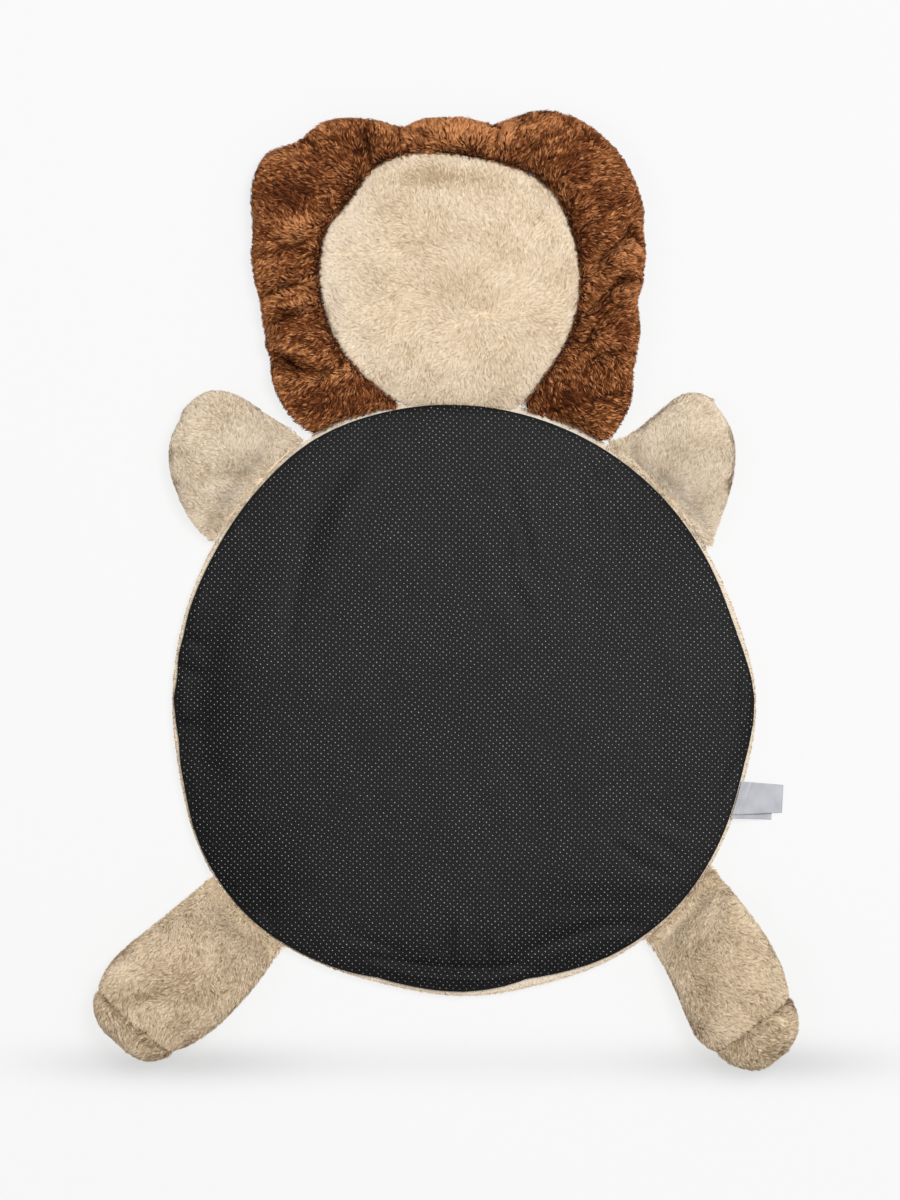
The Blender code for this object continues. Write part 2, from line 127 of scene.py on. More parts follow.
class Wire:
    """One output socket of a finish. Sums on it add Math nodes to the same node tree."""

    def __init__(self, tree, socket=None):
        self.tree = tree
        self.socket = socket

    def node(self, kind, settings=None, inputs=None, output=0):
        """Add any node: its type, its settings, and values or links for its sockets."""
        added = self.tree.nodes.new(kind)
        for name, value in (settings or {}).items():
            if name == "stops":
                set_stops(added.color_ramp, value)
            else:
                setattr(added, name, value)
        for name, value in (inputs or {}).items():
            if isinstance(value, Wire):
                self.tree.links.new(value.socket, added.inputs[name])
            else:
                added.inputs[name].default_value = value
        return Wire(self.tree, added.outputs[output])

    def maths(self, operation, *values):
        return self.node("ShaderNodeMath", {"operation": operation}, dict(enumerate(values)))

    def __add__(self, other):
        return self.maths("ADD", self, other)

    def __radd__(self, other):
        return self.maths("ADD", other, self)

    def __sub__(self, other):
        return self.maths("SUBTRACT", self, other)

    def __mul__(self, other):
        return self.maths("MULTIPLY", self, other)

    def __truediv__(self, other):
        return self.maths("DIVIDE", self, other)

    def ramp(self, stops):
        """Turn a number from 0 to 1 into a colour."""
        return self.node("ShaderNodeValToRGB", {"stops": stops}, {"Fac": self})


def set_stops(ramp, stops):
    """Give a colour ramp its stops: a place from 0 to 1 and a colour each."""
    while len(ramp.elements) < len(stops):
        ramp.elements.new(1.0)
    for element, (place, colour) in zip(ramp.elements, stops):
        element.position = place
        element.color = (*colour, 1.0)


def start_finish(name, roughness, **fixed):
    """Make a material with one shader; returns it, its shader and a wire to start from."""
    material = bpy.data.materials.new(name)
    material.use_nodes = True
    shader = material.node_tree.nodes["Principled BSDF"]
    shader.inputs["Roughness"].default_value = roughness
    for socket, value in fixed.items():
        shader.inputs[socket.replace("_", " ")].default_value = value
    return material, shader, Wire(material.node_tree)


def feed(shader, socket, wire):
    wire.tree.links.new(wire.socket, shader.inputs[socket])


def place_on(start):
    """Where a point lies on its piece: the whole place, its x and its y."""
    place = start.node("ShaderNodeTexCoord", output="Object")
    x = start.node("ShaderNodeSeparateXYZ", inputs={0: place}, output=0)
    y = start.node("ShaderNodeSeparateXYZ", inputs={0: place}, output=1)
    return place, x, y


def bumps(start, height, distance, strength):
    """Turn a height into the slant that light sees."""
    inputs = {"Height": height, "Distance": distance, "Strength": strength}
    return start.node("ShaderNodeBump", inputs=inputs)


# %% [markdown]
# The floor is paper on a light table: nearly white, with a grain too faint to read as a pattern.
# Most of its light is its own, so the shadows round the mat stay as faint as in the photograph,
# which has only one soft band of shade, below the feet. It is three flat blobs, each the bell
# curve of the distance from its middle.

# %% Lay the floor
FLOOR_SIZE = 6.0
PAPER_GLOW = 0.79
Shade = namedtuple("Shade", "x y across up depth")
FLOOR_SHADES = (
    Shade(-290, -366, 115, 19, 0.22),
    Shade(302, -366, 110, 19, 0.20),
    Shade(0, -366, 370, 20, 0.07),
)
BELL = 0.368  # what is left of a blob's depth at its own width


def shaded(tone, x, y, shades, strength=1.0):
    """Lower a tone by blobs of shade."""
    for shade in shades:
        right = (x - shade.x * MM) / (shade.across * MM)
        up = (y - shade.y * MM) / (shade.up * MM)
        blob = tone.maths("POWER", BELL, right * right + up * up)
        tone = tone - blob * (shade.depth * strength)
    return tone


def paper_finish():
    material, shader, start = start_finish("paper", 0.9)
    place, x, y = place_on(start)
    grain = start.node("ShaderNodeTexNoise", inputs={"Vector": place, "Scale": 90.0, "Detail": 3.0})
    light = shaded(1.0 + (grain - 0.5) * 0.02, x, y, FLOOR_SHADES)
    feed(shader, "Base Color", light.ramp([(0.0, (0.0, 0.0, 0.0)), (1.0, (0.12, 0.12, 0.12))]))
    feed(shader, "Emission Color", light.ramp([(0.0, (0.0, 0.0, 0.0)), (1.0, (1.0, 1.0, 1.0))]))
    shader.inputs["Emission Strength"].default_value = PAPER_GLOW
    return material


def add_piece(name, mesh, *materials):
    """Turn a bmesh into an object that sits at the origin."""
    data = bpy.data.meshes.new(name)
    mesh.to_mesh(data)
    mesh.free()
    for material in materials:
        data.materials.append(material)
    data.shade_smooth()
    piece = bpy.data.objects.new(name, data)
    scene.collection.objects.link(piece)
    return piece


table = bmesh.new()
bmesh.ops.create_grid(table, x_segments=1, y_segments=1, size=FLOOR_SIZE / 2)
floor = add_piece("floor", table, paper_finish())
floor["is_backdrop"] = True
print("floor:", floor.dimensions[:2])

# %% [markdown]
# Plush is a knitted ground cloth with thousands of fine hairs on it. Two finishes make it. The
# ground is painted darker than the hair, a painted shade, since little light gets down to it. The hair
# takes its colour from its own map: across the map runs the tone of a tuft, from shaded to sunlit, and
# along it the way from root to tip, with a painted shade that makes it darker at the root.

# %% Mix the plush finishes
HAIR_MAP = "OFBake"
HAIR_ROOT = 0.05  # where on the map a hair's root lies, and its tip
HAIR_TIP = 0.15

# root: how far the painted shade darkens a hair at its root
Plush = namedtuple("Plush", "slot deep middle light ground root")
CREAM = Plush(
    "head_plush",
    (0.50, 0.36, 0.21),
    (0.88, 0.72, 0.525),
    (1.0, 0.88, 0.72),
    (0.66, 0.51, 0.35),
    0.72,
)
TAN = Plush(
    "tan_plush",
    (0.44, 0.325, 0.19),
    (0.82, 0.685, 0.52),
    (1.0, 0.885, 0.73),
    (0.62, 0.49, 0.34),
    0.72,
)
WORN = Plush(
    "leg_plush",
    (0.28, 0.185, 0.095),
    (0.74, 0.58, 0.395),
    (0.98, 0.83, 0.63),
    (0.50, 0.37, 0.24),
    0.66,
)
BROWN = Plush(
    "brown_plush",
    (0.026, 0.005, 0.001),
    (0.225, 0.063, 0.0155),
    (0.80, 0.355, 0.14),
    (0.036, 0.010, 0.003),
    0.40,
)
# the smooth cloth of the mat's turned edge, paler than its pile
TURNED = TAN._replace(slot="turned_edge", ground=(0.84, 0.77, 0.66))


def hair_finish(plush):
    material, shader, start = start_finish(plush.slot + "_hair", 0.8, Specular_IOR_Level=0.12)
    spot = start.node("ShaderNodeUVMap", {"uv_map": HAIR_MAP})
    tone = start.node("ShaderNodeSeparateXYZ", inputs={0: spot}, output=0)
    along = start.node("ShaderNodeSeparateXYZ", inputs={0: spot}, output=1)
    body = tone.ramp([(0.0, plush.deep), (0.5, plush.middle), (1.0, plush.light)])
    way_up = (along - HAIR_ROOT) / (HAIR_TIP - HAIR_ROOT)
    # painted shade: the hair is darker towards its root, where little light gets in
    root = (plush.root,) * 3
    shade = way_up.ramp([(0.0, root), (0.5, (0.93, 0.93, 0.93)), (1.0, (1.0, 1.0, 1.0))])
    settings = {"data_type": "RGBA", "blend_type": "MULTIPLY"}
    colour = start.node("ShaderNodeMix", settings, {"Factor": 1.0, 6: body, 7: shade}, 2)
    feed(shader, "Base Color", colour)
    return material


def ground_finish(plush):
    material, shader, start = start_finish(plush.slot + "_ground", 0.95, Specular_IOR_Level=0.2)
    place = start.node("ShaderNodeTexCoord", output="Object")
    patch = start.node("ShaderNodeTexNoise", inputs={"Vector": place, "Scale": 28.0, "Detail": 4.0})
    tuft = start.node("ShaderNodeTexNoise", inputs={"Vector": place, "Scale": 420.0, "Detail": 3.0})
    tone = patch * 0.4 + tuft * 0.6
    lighter = tuple(min(1.0, part * 1.5) for part in plush.ground)
    feed(shader, "Base Color", tone.ramp([(0.3, plush.ground), (0.7, lighter)]))
    feed(shader, "Normal", bumps(start, tuft, 0.0015, 0.8))
    return material


hair_finishes = {plush.slot: hair_finish(plush) for plush in (CREAM, TAN, WORN, BROWN)}
ground_finishes = {plush.slot: ground_finish(plush) for plush in (CREAM, TAN, WORN, BROWN)}
print("plush finishes:", sorted(hair_finishes))

# %% [markdown]
# Stuffed pieces start as a copy of their solid. A solid reaches as far as the tips of the hair, so
# the ground cloth is drawn in by the depth of the pile. Where a piece is sewn to its neighbour, the
# two stay together instead, and the cloth is lifted a little to close the groove over the seam.
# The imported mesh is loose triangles: its doubles are merged and its triangles joined to
# four-sided faces, which subdivide smoothly. Subdivision rounds every edge, also those that meet
# in the mat's seam, so these are creased to stay where they are.

# %% Copy a solid as a stuffed cushion
MERGE = 0.01 * MM
SEAM_NEAR = 0.8 * MM
SEAM_FAR = 9 * MM
SEAM_FILL = 7 * MM  # how far from a seam the cloth is lifted
LEAST_DEPTH = 0.12
CREASED = 3 * MM  # how near the seam of the mat an edge is creased
STUFFED = ("head", "mane", "arm_left", "arm_right", "leg_left", "leg_right")


def tree_of(solid):
    spots = [point.co for point in solid.data.vertices]
    return BVHTree.FromPolygons(spots, [face.vertices for face in solid.data.polygons])


solid_trees = {name: tree_of(solid) for name, solid in solids.items() if "label" not in name}


def gaps_to(spots, names):
    """How far each place is from the nearest of the named solids."""
    trees = [solid_trees[name] for name in names]
    return np.array([min(tree.find_nearest(spot)[3] for tree in trees) for spot in spots])


def stuffed_copy(node, pile_depth, seam_lift=0.0, left_out=()):
    """A cushion inside a solid, drawn in by its pile but held and lifted at its seams."""
    mesh = bmesh.new()
    mesh.from_mesh(solids[node].data)
    bmesh.ops.remove_doubles(mesh, verts=mesh.verts, dist=MERGE)
    bmesh.ops.join_triangles(
        mesh,
        faces=mesh.faces,
        angle_face_threshold=math.radians(40),
        angle_shape_threshold=math.radians(60),
    )
    mesh.normal_update()
    spots = [point.co.copy() for point in mesh.verts]
    moves = []
    others = [name for name in solid_trees if name not in (node, *left_out)]
    for point, gap in zip(mesh.verts, gaps_to(spots, others)):
        free = min(max((gap - SEAM_NEAR) / (SEAM_FAR - SEAM_NEAR), LEAST_DEPTH), 1.0)
        move = point.normal * (-pile_depth * free)
        move.z = min(move.z, 0.0)
        if point.normal.z > -0.2:
            move.z += seam_lift * math.exp(-((gap / SEAM_FILL) ** 2))
        moves.append(move)
    seam = STUFFED if node == "mat_pad" else ["mat_pad"]
    in_seam = gaps_to(spots, seam) < CREASED
    creases = mesh.edges.layers.float.new("crease_edge")
    for edge in mesh.edges:
        sharp = edge.calc_face_angle(0.0) > math.radians(35)
        edge[creases] = float(sharp and all(in_seam[point.index] for point in edge.verts))
    for point, move in zip(mesh.verts, moves):
        point.co += move
        point.co.z = max(0.0, point.co.z)
    return mesh


def subdivide(piece):
    """Subdivide a cushion once, smoothly, and keep the result as its mesh."""
    smooth = piece.modifiers.new("smooth", "SUBSURF")
    smooth.levels = 1
    smooth.render_levels = 1
    settle(piece)


def read_points(piece):
    points = np.zeros(len(piece.data.vertices) * 3)
    piece.data.vertices.foreach_get("co", points)
    return points.reshape(-1, 3)


def settle(piece):
    """Apply a piece's modifiers, so that its mesh is what is seen."""
    graph = bpy.context.evaluated_depsgraph_get()
    finished = bpy.data.meshes.new_from_object(piece.evaluated_get(graph))
    piece.modifiers.clear()
    piece.data = finished
    finished.name = piece.name
    finished.shade_smooth()


def belongs(piece, slot, *nodes):
    """Attach a piece to the root body and hide the solids it stands for; slot is not used."""
    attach(piece, "root")
    if nodes:
        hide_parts(*nodes)


def count_triangles(piece):
    piece.data.calc_loop_triangles()
    return len(piece.data.loop_triangles)


# %% [markdown]
# Filling pushes a cushion's cloth outwards. Here the cloth is simulated for twenty frames with that
# pressure inside it and no gravity. It is held at its seams and on the floor, and no point may move
# more than a few millimetres, so the piece stays in the space of its solid. The simulation runs on
# a coarse mesh, which is subdivided once more afterwards.

# %% Fill a cushion
PRESSURE = 12.0
STIFFNESS = 5.0
FRAMES = 20
POINT_MASS = 0.01
SWELL = 2.5 * MM  # the most that the filling may move the cloth
HELD = 8 * MM  # how far from a neighbour the seam still holds the cloth
GRIP = 1.15  # over 1, so the cloth right beside a seam is held fully


def fill_up(piece, node):
    """Swell the free parts of a cushion by the pressure of its filling."""
    start = read_points(piece)
    others = [name for name in solid_trees if name != node]
    held = np.clip(GRIP - gaps_to(start, others) / HELD, 0, 1)
    held[start[:, 2] < 2 * MM] = 1
    seam = piece.vertex_groups.new(name="seam")
    for k, weight in enumerate(held):
        seam.add([k], weight, "REPLACE")
    filling = piece.modifiers.new("filling", "CLOTH")
    filling.settings.use_pressure = True
    filling.settings.uniform_pressure_force = PRESSURE
    filling.settings.vertex_group_mass = seam.name
    filling.settings.mass = POINT_MASS
    filling.settings.tension_stiffness = STIFFNESS
    filling.settings.compression_stiffness = STIFFNESS
    filling.settings.effector_weights.gravity = 0
    filling.point_cache.frame_start = 1
    filling.point_cache.frame_end = FRAMES
    for number in range(1, FRAMES + 1):
        scene.frame_set(number)
    graph = bpy.context.evaluated_depsgraph_get()
    moves = read_points(piece.evaluated_get(graph)) - start
    sizes = np.linalg.norm(moves, axis=1)
    moves *= ((1 - held) * np.minimum(sizes, SWELL) / np.maximum(sizes, 1e-9))[:, None]
    piece.modifiers.clear()
    piece.vertex_groups.clear()
    piece.data.vertices.foreach_set("co", (start + moves).reshape(-1))
    piece.data.update()
    scene.frame_set(1)
    free = np.linalg.norm(moves, axis=1)[held < 0.5] / MM
    print(f"{piece.name}: {len(start)} points, the free ones filled by {free.mean():.1f} mm")


def stuffed(name, mesh, material, node):
    """Round a cushion, fill it and round it once more."""
    piece = add_piece(name, mesh, material)
    subdivide(piece)
    fill_up(piece, node)
    subdivide(piece)
    return piece


# %% [markdown]
# Cloth gets its life from how it lies. A fold is a soft ridge or valley along a path, given by its
# width, its height and the points of the path in millimetres; the hair over it also gets painted shade
# in its valleys and painted light on its ridges. A patch is a painted lighter or darker tone: painted
# light and shade that stand for pile brushed the other way, which takes the light differently, and for
# the shade of hollows. Every piece below has its own list of both.

# %% Describe folds and patches
Fold = namedtuple("Fold", "width height path")
Patch = namedtuple("Patch", "x y across up tone")


def relief(spots, folds, spread=1.0):
    """How far all the folds lift or lower the cloth, for an array of places."""
    flat = spots[:, :2] / MM
    total = np.zeros(len(flat))
    for fold in folds:
        path = np.array(fold.path, float)
        ways = np.diff(path, axis=0)
        steps = np.linalg.norm(ways, axis=1)
        passed = np.concatenate([[0], np.cumsum(steps)]) / steps.sum()
        best = np.full(len(flat), 1e9)
        share = np.zeros(len(flat))
        for k, (start, way) in enumerate(zip(path, ways)):
            local = np.clip((flat - start) @ way / (way @ way), 0, 1)
            gap = np.linalg.norm(flat - (start + local[:, None] * way), axis=1)
            nearer = gap < best
            best[nearer] = gap[nearer]
            share[nearer] = (passed[k] + local * (passed[k + 1] - passed[k]))[nearer]
        fade = np.sin(np.pi * (0.12 + 0.76 * share)) ** 0.7
        total += fold.height * MM * fade * np.exp(-((best / (fold.width * spread)) ** 2))
    return total


def patch_tone(spots, patches):
    """The sum of all the patches' tones, for an array of places."""
    total = np.zeros(len(spots))
    for patch in patches:
        x = (spots[:, 0] / MM - patch.x) / patch.across
        y = (spots[:, 1] / MM - patch.y) / patch.up
        total += patch.tone * np.exp(-(x**2 + y**2))
    return total


def press_folds(piece, folds, share=1.0):
    """Move the upper side of a cushion up and down by its folds, or by a share of them."""
    points = read_points(piece)
    normals = np.zeros(len(piece.data.vertices) * 3)
    piece.data.vertices.foreach_get("normal", normals)
    upward = np.clip((normals.reshape(-1, 3)[:, 2] - 0.05) / 0.3, 0, 1)
    lowest = np.minimum(points[:, 2], 1.5 * MM)
    points[:, 2] = np.maximum(points[:, 2] + share * relief(points, folds) * upward, lowest)
    piece.data.vertices.foreach_set("co", points.reshape(-1))
    piece.data.update()


# %% [markdown]
# Hair doesn't lie at random. A hand or a brush moves whole patches of it one way, and neighbours
# cling together in small tufts. A soft random field gives the patches: waves of about one length,
# laid over each other in all directions, with a fixed seed so that each run is the same.

# %% Make soft random fields


class Drift:
    """A soft random field with a spread of about 1 either way."""

    def __init__(self, seed, wavelength, waves=16):
        draw = np.random.default_rng(seed)
        ways = draw.normal(size=(waves, 3))
        ways /= np.linalg.norm(ways, axis=1)[:, None]
        lengths = wavelength * draw.uniform(0.7, 1.5, waves)
        self.ways = ways * (math.tau / lengths)[:, None]
        self.starts = draw.uniform(0, math.tau, waves)
        self.share = math.sqrt(2 / waves)

    def __call__(self, spots):
        return np.sin(spots @ self.ways.T + self.starts).sum(axis=1) * self.share


def unit(ways):
    return ways / np.maximum(np.linalg.norm(ways, axis=1), 1e-9)[:, None]


def along_surface(ways, normals):
    """Turn ways so that they lie flat on the surface."""
    return unit(ways - normals * (ways * normals).sum(axis=1)[:, None])


# %% [markdown]
# A hair is drawn as one narrow blade that bends over: a grid of two faces whose two ends are merged
# to points, which leaves two triangles. The real pile has millions of hairs, so each blade stands
# for a few that cling together. Blades are placed by arrays of numbers, because an operator for
# each would take hours.

# %% Make one blade of hair


def make_blade():
    """A flat blade, one wide and one long, pointed at both ends."""
    mesh = bmesh.new()
    bmesh.ops.create_grid(mesh, x_segments=1, y_segments=2, size=0.5)
    bmesh.ops.translate(mesh, verts=mesh.verts, vec=(0, 0.5, 0))
    for end in (0, 1):
        pair = [point for point in mesh.verts if abs(point.co.y - end) < 0.01]
        bmesh.ops.pointmerge(mesh, verts=pair, merge_co=(0, end, 0))
    mesh.verts.index_update()
    spots = np.array([point.co[:] for point in mesh.verts])
    faces = [[point.index for point in face.verts] for face in mesh.faces]
    mesh.free()
    return spots, faces


blade_spots, blade_faces = make_blade()
print("a blade has", len(blade_spots), "points and faces", blade_faces)

# %% Join thousands of copies of one small shape


def join_copies(name, places, faces, shades, material):
    """One object from many copies: places is copies x points x 3, shades copies x points x 2."""
    copies, points = places.shape[:2]
    corners = np.concatenate([np.array(face) for face in faces])
    steps = np.arange(copies)[:, None]
    data = bpy.data.meshes.new(name)
    data.vertices.add(copies * points)
    data.vertices.foreach_set("co", places.reshape(-1).astype(np.float32))
    data.loops.add(copies * len(corners))
    data.loops.foreach_set("vertex_index", (corners[None, :] + steps * points).reshape(-1))
    starts = np.cumsum([0] + [len(face) for face in faces[:-1]])
    data.polygons.add(copies * len(faces))
    data.polygons.foreach_set("loop_start", (starts[None, :] + steps * len(corners)).reshape(-1))
    data.update(calc_edges=True)
    layer = data.uv_layers.new(name=HAIR_MAP)
    layer.data.foreach_set("uv", shades[:, corners, :].reshape(-1).astype(np.float32))
    data.materials.append(material)
    data.shade_smooth()
    piece = bpy.data.objects.new(name, data)
    scene.collection.objects.link(piece)
    return piece


# %% Choose where the hairs grow


def grow_places(cloth, count, draw, wanted):
    """Random places on a cloth and its normals there, more of them where more are wanted."""
    cloth.data.calc_loop_triangles()
    triangles = np.zeros(len(cloth.data.loop_triangles) * 3, np.int32)
    cloth.data.loop_triangles.foreach_get("vertices", triangles)
    triangles = triangles.reshape(-1, 3)
    points = read_points(cloth)
    normals = np.zeros_like(points).reshape(-1)
    cloth.data.vertices.foreach_get("normal", normals)
    normals = normals.reshape(-1, 3)
    a, b, c = (points[triangles[:, k]] for k in range(3))
    crossed = np.cross(b - a, c - a)
    areas = np.linalg.norm(crossed, axis=1) / 2
    weights = areas * wanted((a + b + c) / 3, unit(crossed))
    chosen = draw.choice(len(triangles), count, p=weights / weights.sum())
    u, v = draw.random((2, count))
    over = u + v > 1
    u[over], v[over] = 1 - u[over], 1 - v[over]
    mix = [(1 - u - v)[:, None], u[:, None], v[:, None]]
    spots = sum(mix[k] * points[triangles[chosen, k]] for k in range(3))
    facing = unit(sum(mix[k] * normals[triangles[chosen, k]] for k in range(3)))
    print(f"{cloth.name}: {weights.sum() * 1e6 / count:.2f} mm2 to a hair")
    return spots, facing


# %% [markdown]
# Growing a pile takes five steps. Places are drawn on the cloth. Each hair lies the way it is
# combed, turned by the soft fields. Each joins the nearest of the tufts and takes over part of its
# lie. Its tip leans towards the tuft's tip. Last, its tone is set from the patch, the tuft and the
# hair itself, with painted shade and light from the folds, beside the seams and on the slopes.

# %% Grow a pile
# folded: how strongly the folds paint shade in their valleys and light on their ridges
Pile = namedtuple("Pile", "length width rise swirl ruffle tuft_size pinch contrast flank folded overhang")
BRUSHED = 60 * MM  # the length of the patches that a hand brushes one way
RUFFLED = 22 * MM  # and of the smaller ones within them
PATCH_LENGTH = 42 * MM
PATCH_SHADE = 0.045
SUNK = 0.6 * MM  # how deep the roots stand in the cloth
FUZZ = 1.1  # how much more the hair stands up on the flanks
STEEP = 0.28  # past this slope the painted light on the hair's slopes grows no more
FRINGE = 4.5 * MM  # how far from the mat's seam the hair leans over it
# painted shading beside a seam: a negative tone paints shade there, a positive one paints light
Seam = namedtuple("Seam", "nodes width tone")


def beside_the_mat(spots):
    """1 at the mat's seam, falling to 0 away from it."""
    return np.exp(-((gaps_to(spots, ["mat_pad"]) / FRINGE) ** 2))


def grow_pile(
    name, cloth, count, seed, plush, pile, comb, wanted, folds=(), patches=(), tone=0.5, seam=None
):
    draw = np.random.default_rng(seed)
    roots, normals = grow_places(cloth, count, draw, wanted)
    lie = along_surface(comb(roots) + draw.normal(0, 0.05, roots.shape), normals)
    side = np.cross(normals, lie)
    brushed = Drift(seed + 1, BRUSHED)(roots) * 0.6 + Drift(seed + 2, RUFFLED)(roots) * 0.4
    turn = pile.swirl * brushed

    tufts = max(1, count // pile.tuft_size)
    tree = kdtree.KDTree(tufts)
    for k in range(tufts):
        tree.insert(roots[k], k)
    tree.balance()
    own = np.array([tree.find(root)[1] for root in roots])
    tuft_turn = draw.normal(0, 1, tufts)
    tuft_tone = draw.normal(0, 1, tufts)
    tuft_rise = draw.uniform(0.75, 1.25, tufts)

    turn = turn + pile.ruffle * tuft_turn[own] + draw.normal(0, 0.16, count)
    lie = lie * np.cos(turn)[:, None] + side * np.sin(turn)[:, None]
    lie = unit(lie + 0.8 * lie[own])
    lie = along_surface(lie, normals)
    length = pile.length * draw.uniform(0.75, 1.2, count)
    length *= 1 + pile.overhang * beside_the_mat(roots)
    flank = np.clip(1 - normals[:, 2], 0, 1)
    rise = pile.rise * tuft_rise[own] * draw.uniform(0.6, 1.3, count) * (1 + FUZZ * flank)

    tips = roots + lie * length[:, None] + normals * rise[:, None]
    gather = roots[own] + lie[own] * (pile.length * 1.05) + normals[own] * rise[:, None]
    tips = tips + (gather - tips) * pile.pinch * draw.uniform(0.4, 1.0, count)[:, None]
    bends = roots + lie * (length * 0.35)[:, None] + normals * (rise * 1.35)[:, None]
    sunk = roots - normals * SUNK

    roll = draw.normal(0, 0.3, count)
    across = np.cross(lie, normals)
    across = across * np.cos(roll)[:, None] + normals * np.sin(roll)[:, None]
    widths = pile.width * draw.uniform(0.75, 1.25, count)

    t = blade_spots[:, 1][None, :, None]
    path = (1 - t) ** 2 * sunk[:, None] + 2 * t * (1 - t) * bends[:, None] + t**2 * tips[:, None]
    places = path + blade_spots[:, 0][None, :, None] * (across * widths[:, None])[:, None]
    places[:, :, 2] = np.maximum(places[:, :, 2], 0.2 * MM)

    # painted light and shade: the patches' tones, and the folds, darker in valleys and paler on ridges
    shade = tone + patch_tone(roots, patches) + pile.folded * relief(roots, folds, 0.75) / MM
    # painted shading along the seams to the named pieces: shade for a negative tone, light for a positive
    # one
    if seam:
        shade += seam.tone * np.exp(-((gaps_to(roots, seam.nodes) / seam.width) ** 2))
    shade += PATCH_SHADE * Drift(seed + 3, PATCH_LENGTH)(roots)
    # painted light: hair on slopes is made paler, up to the slope STEEP
    shade += pile.flank * np.minimum(flank, STEEP)
    shade += pile.contrast * (tuft_tone[own] * 0.6 + draw.normal(0, 0.7, count))
    shade = np.clip(shade, 0.02, 0.98)
    shades = np.zeros((count, len(blade_spots), 2))
    shades[:, :, 0] = shade[:, None] + blade_spots[None, :, 0] * 0.0015
    shades[:, :, 1] = HAIR_ROOT + blade_spots[None, :, 1] * (HAIR_TIP - HAIR_ROOT)
    piece = join_copies(name, places, blade_faces, shades, hair_finishes[plush.slot])
    belongs(piece, plush.slot)
    print(f"{name}: {count} hairs in {tufts} tufts, {count_triangles(piece)} triangles")
    return piece


def upper_side(spots, normals):
    """Hair is wanted on top and round the sides, not where the piece lies on the floor."""
    return np.clip((normals[:, 2] + 0.45) / 0.3, 0.0, 1.0) * (spots[:, 2] > 1.0 * MM)


# %% [markdown]
# The non-slip panel is one round piece of thin black cloth, sewn down at its edge over the crowned
# pad. A grid is rolled round into a disc, with its rings closer together near the edge, where the
# cloth puckers. Its reach is read from the solid's own edge, so that it fits the seam everywhere.

# %% Read the panel's edge from its solid
PANEL_EDGE_HEIGHT = 17.9 * MM
CROWN = 13 * MM
CROWN_FIRMNESS = 2.8


def read_edge():
    """Directions and reaches of the points along the solid panel's edge."""
    spots = np.array([point.co[:] for point in solids["base_panel"].data.vertices])
    reach = np.hypot(spots[:, 0], spots[:, 1])
    at_edge = (reach > 0.25) & (spots[:, 2] > PANEL_EDGE_HEIGHT - 0.4 * MM)
    at_edge &= spots[:, 2] < PANEL_EDGE_HEIGHT + 0.4 * MM
    spots, reach = spots[at_edge], reach[at_edge]
    direction = np.degrees(np.arctan2(spots[:, 1], spots[:, 0])) % 360
    order = np.argsort(direction)
    direction, reach = direction[order], reach[order]
    kept = np.append(np.diff(direction) > 0.5, True)
    return direction[kept], reach[kept]


edge_directions, edge_reaches = read_edge()
print(len(edge_directions), "points on the edge, reach", edge_reaches.min(), edge_reaches.max())

# %% [markdown]
# The pad is the body of the mat. Only its edge shows, where the plush of the front is turned over
# the seam and peeks out round the black panel as a fine pale fringe. Under the panel the pad is
# pressed down, so that the panel's valleys stay clear of it.

# %% Make the pad and its fringe
RIM_DEPTH = 1.5 * MM
PRESSED = 7 * MM


def edge_reach(direction):
    return np.interp(direction, edge_directions, edge_reaches, period=360)


def share_of_reach(spots):
    """How far out a place is, from 0 in the middle of the panel to 1 at its edge."""
    direction = np.degrees(np.arctan2(spots[:, 1], spots[:, 0]))
    return np.hypot(spots[:, 0], spots[:, 1]) / edge_reach(direction)


pad_mesh = stuffed_copy("mat_pad", RIM_DEPTH, left_out=("base_panel",))
pad_shares = share_of_reach(np.array([point.co[:] for point in pad_mesh.verts]))
for point, share in zip(pad_mesh.verts, pad_shares):
    if point.co.z > 10 * MM:
        point.co.z -= PRESSED * min(max((0.99 - share) / 0.06, 0.0), 1.0)
pad = add_piece("pad_cloth", pad_mesh, ground_finish(TURNED))
subdivide(pad)
belongs(pad, "tan_plush", "mat_pad")


def outward(spots):
    """Combed away from the middle of the mat."""
    return spots * (1.0, 1.0, 0.0)


COVERED = [name for name in STUFFED if name != "mane"]


def past_the_panel(spots, normals):
    clear = (gaps_to(spots, COVERED) > 3.5 * MM) & (gaps_to(spots, ["mane"]) > 1.2 * MM)
    return clear * (share_of_reach(spots) > 0.996) * (spots[:, 2] > 3 * MM) * (normals[:, 2] > -0.5)


RIM_PILE = Pile(4.6 * MM, 0.8 * MM, 0.8 * MM, 0.4, 0.2, 6, 0.3, 0.07, 0.0, 0.0, 0.0)
RIM_PATCHES = (
    Patch(-105, 274, 34, 14, 0.12),
    Patch(100, 274, 34, 14, 0.14),
)
grow_pile(
    "rim_pile", pad, 30000, 12, TAN, RIM_PILE, outward, past_the_panel, patches=RIM_PATCHES, tone=0.84
)

# %% [markdown]
# The panel isn't a smooth dome. It has puckers where it was sewn too full, a rolled fold at the
# foot end, drags that run down from the head end, and a long side that sinks to the left.

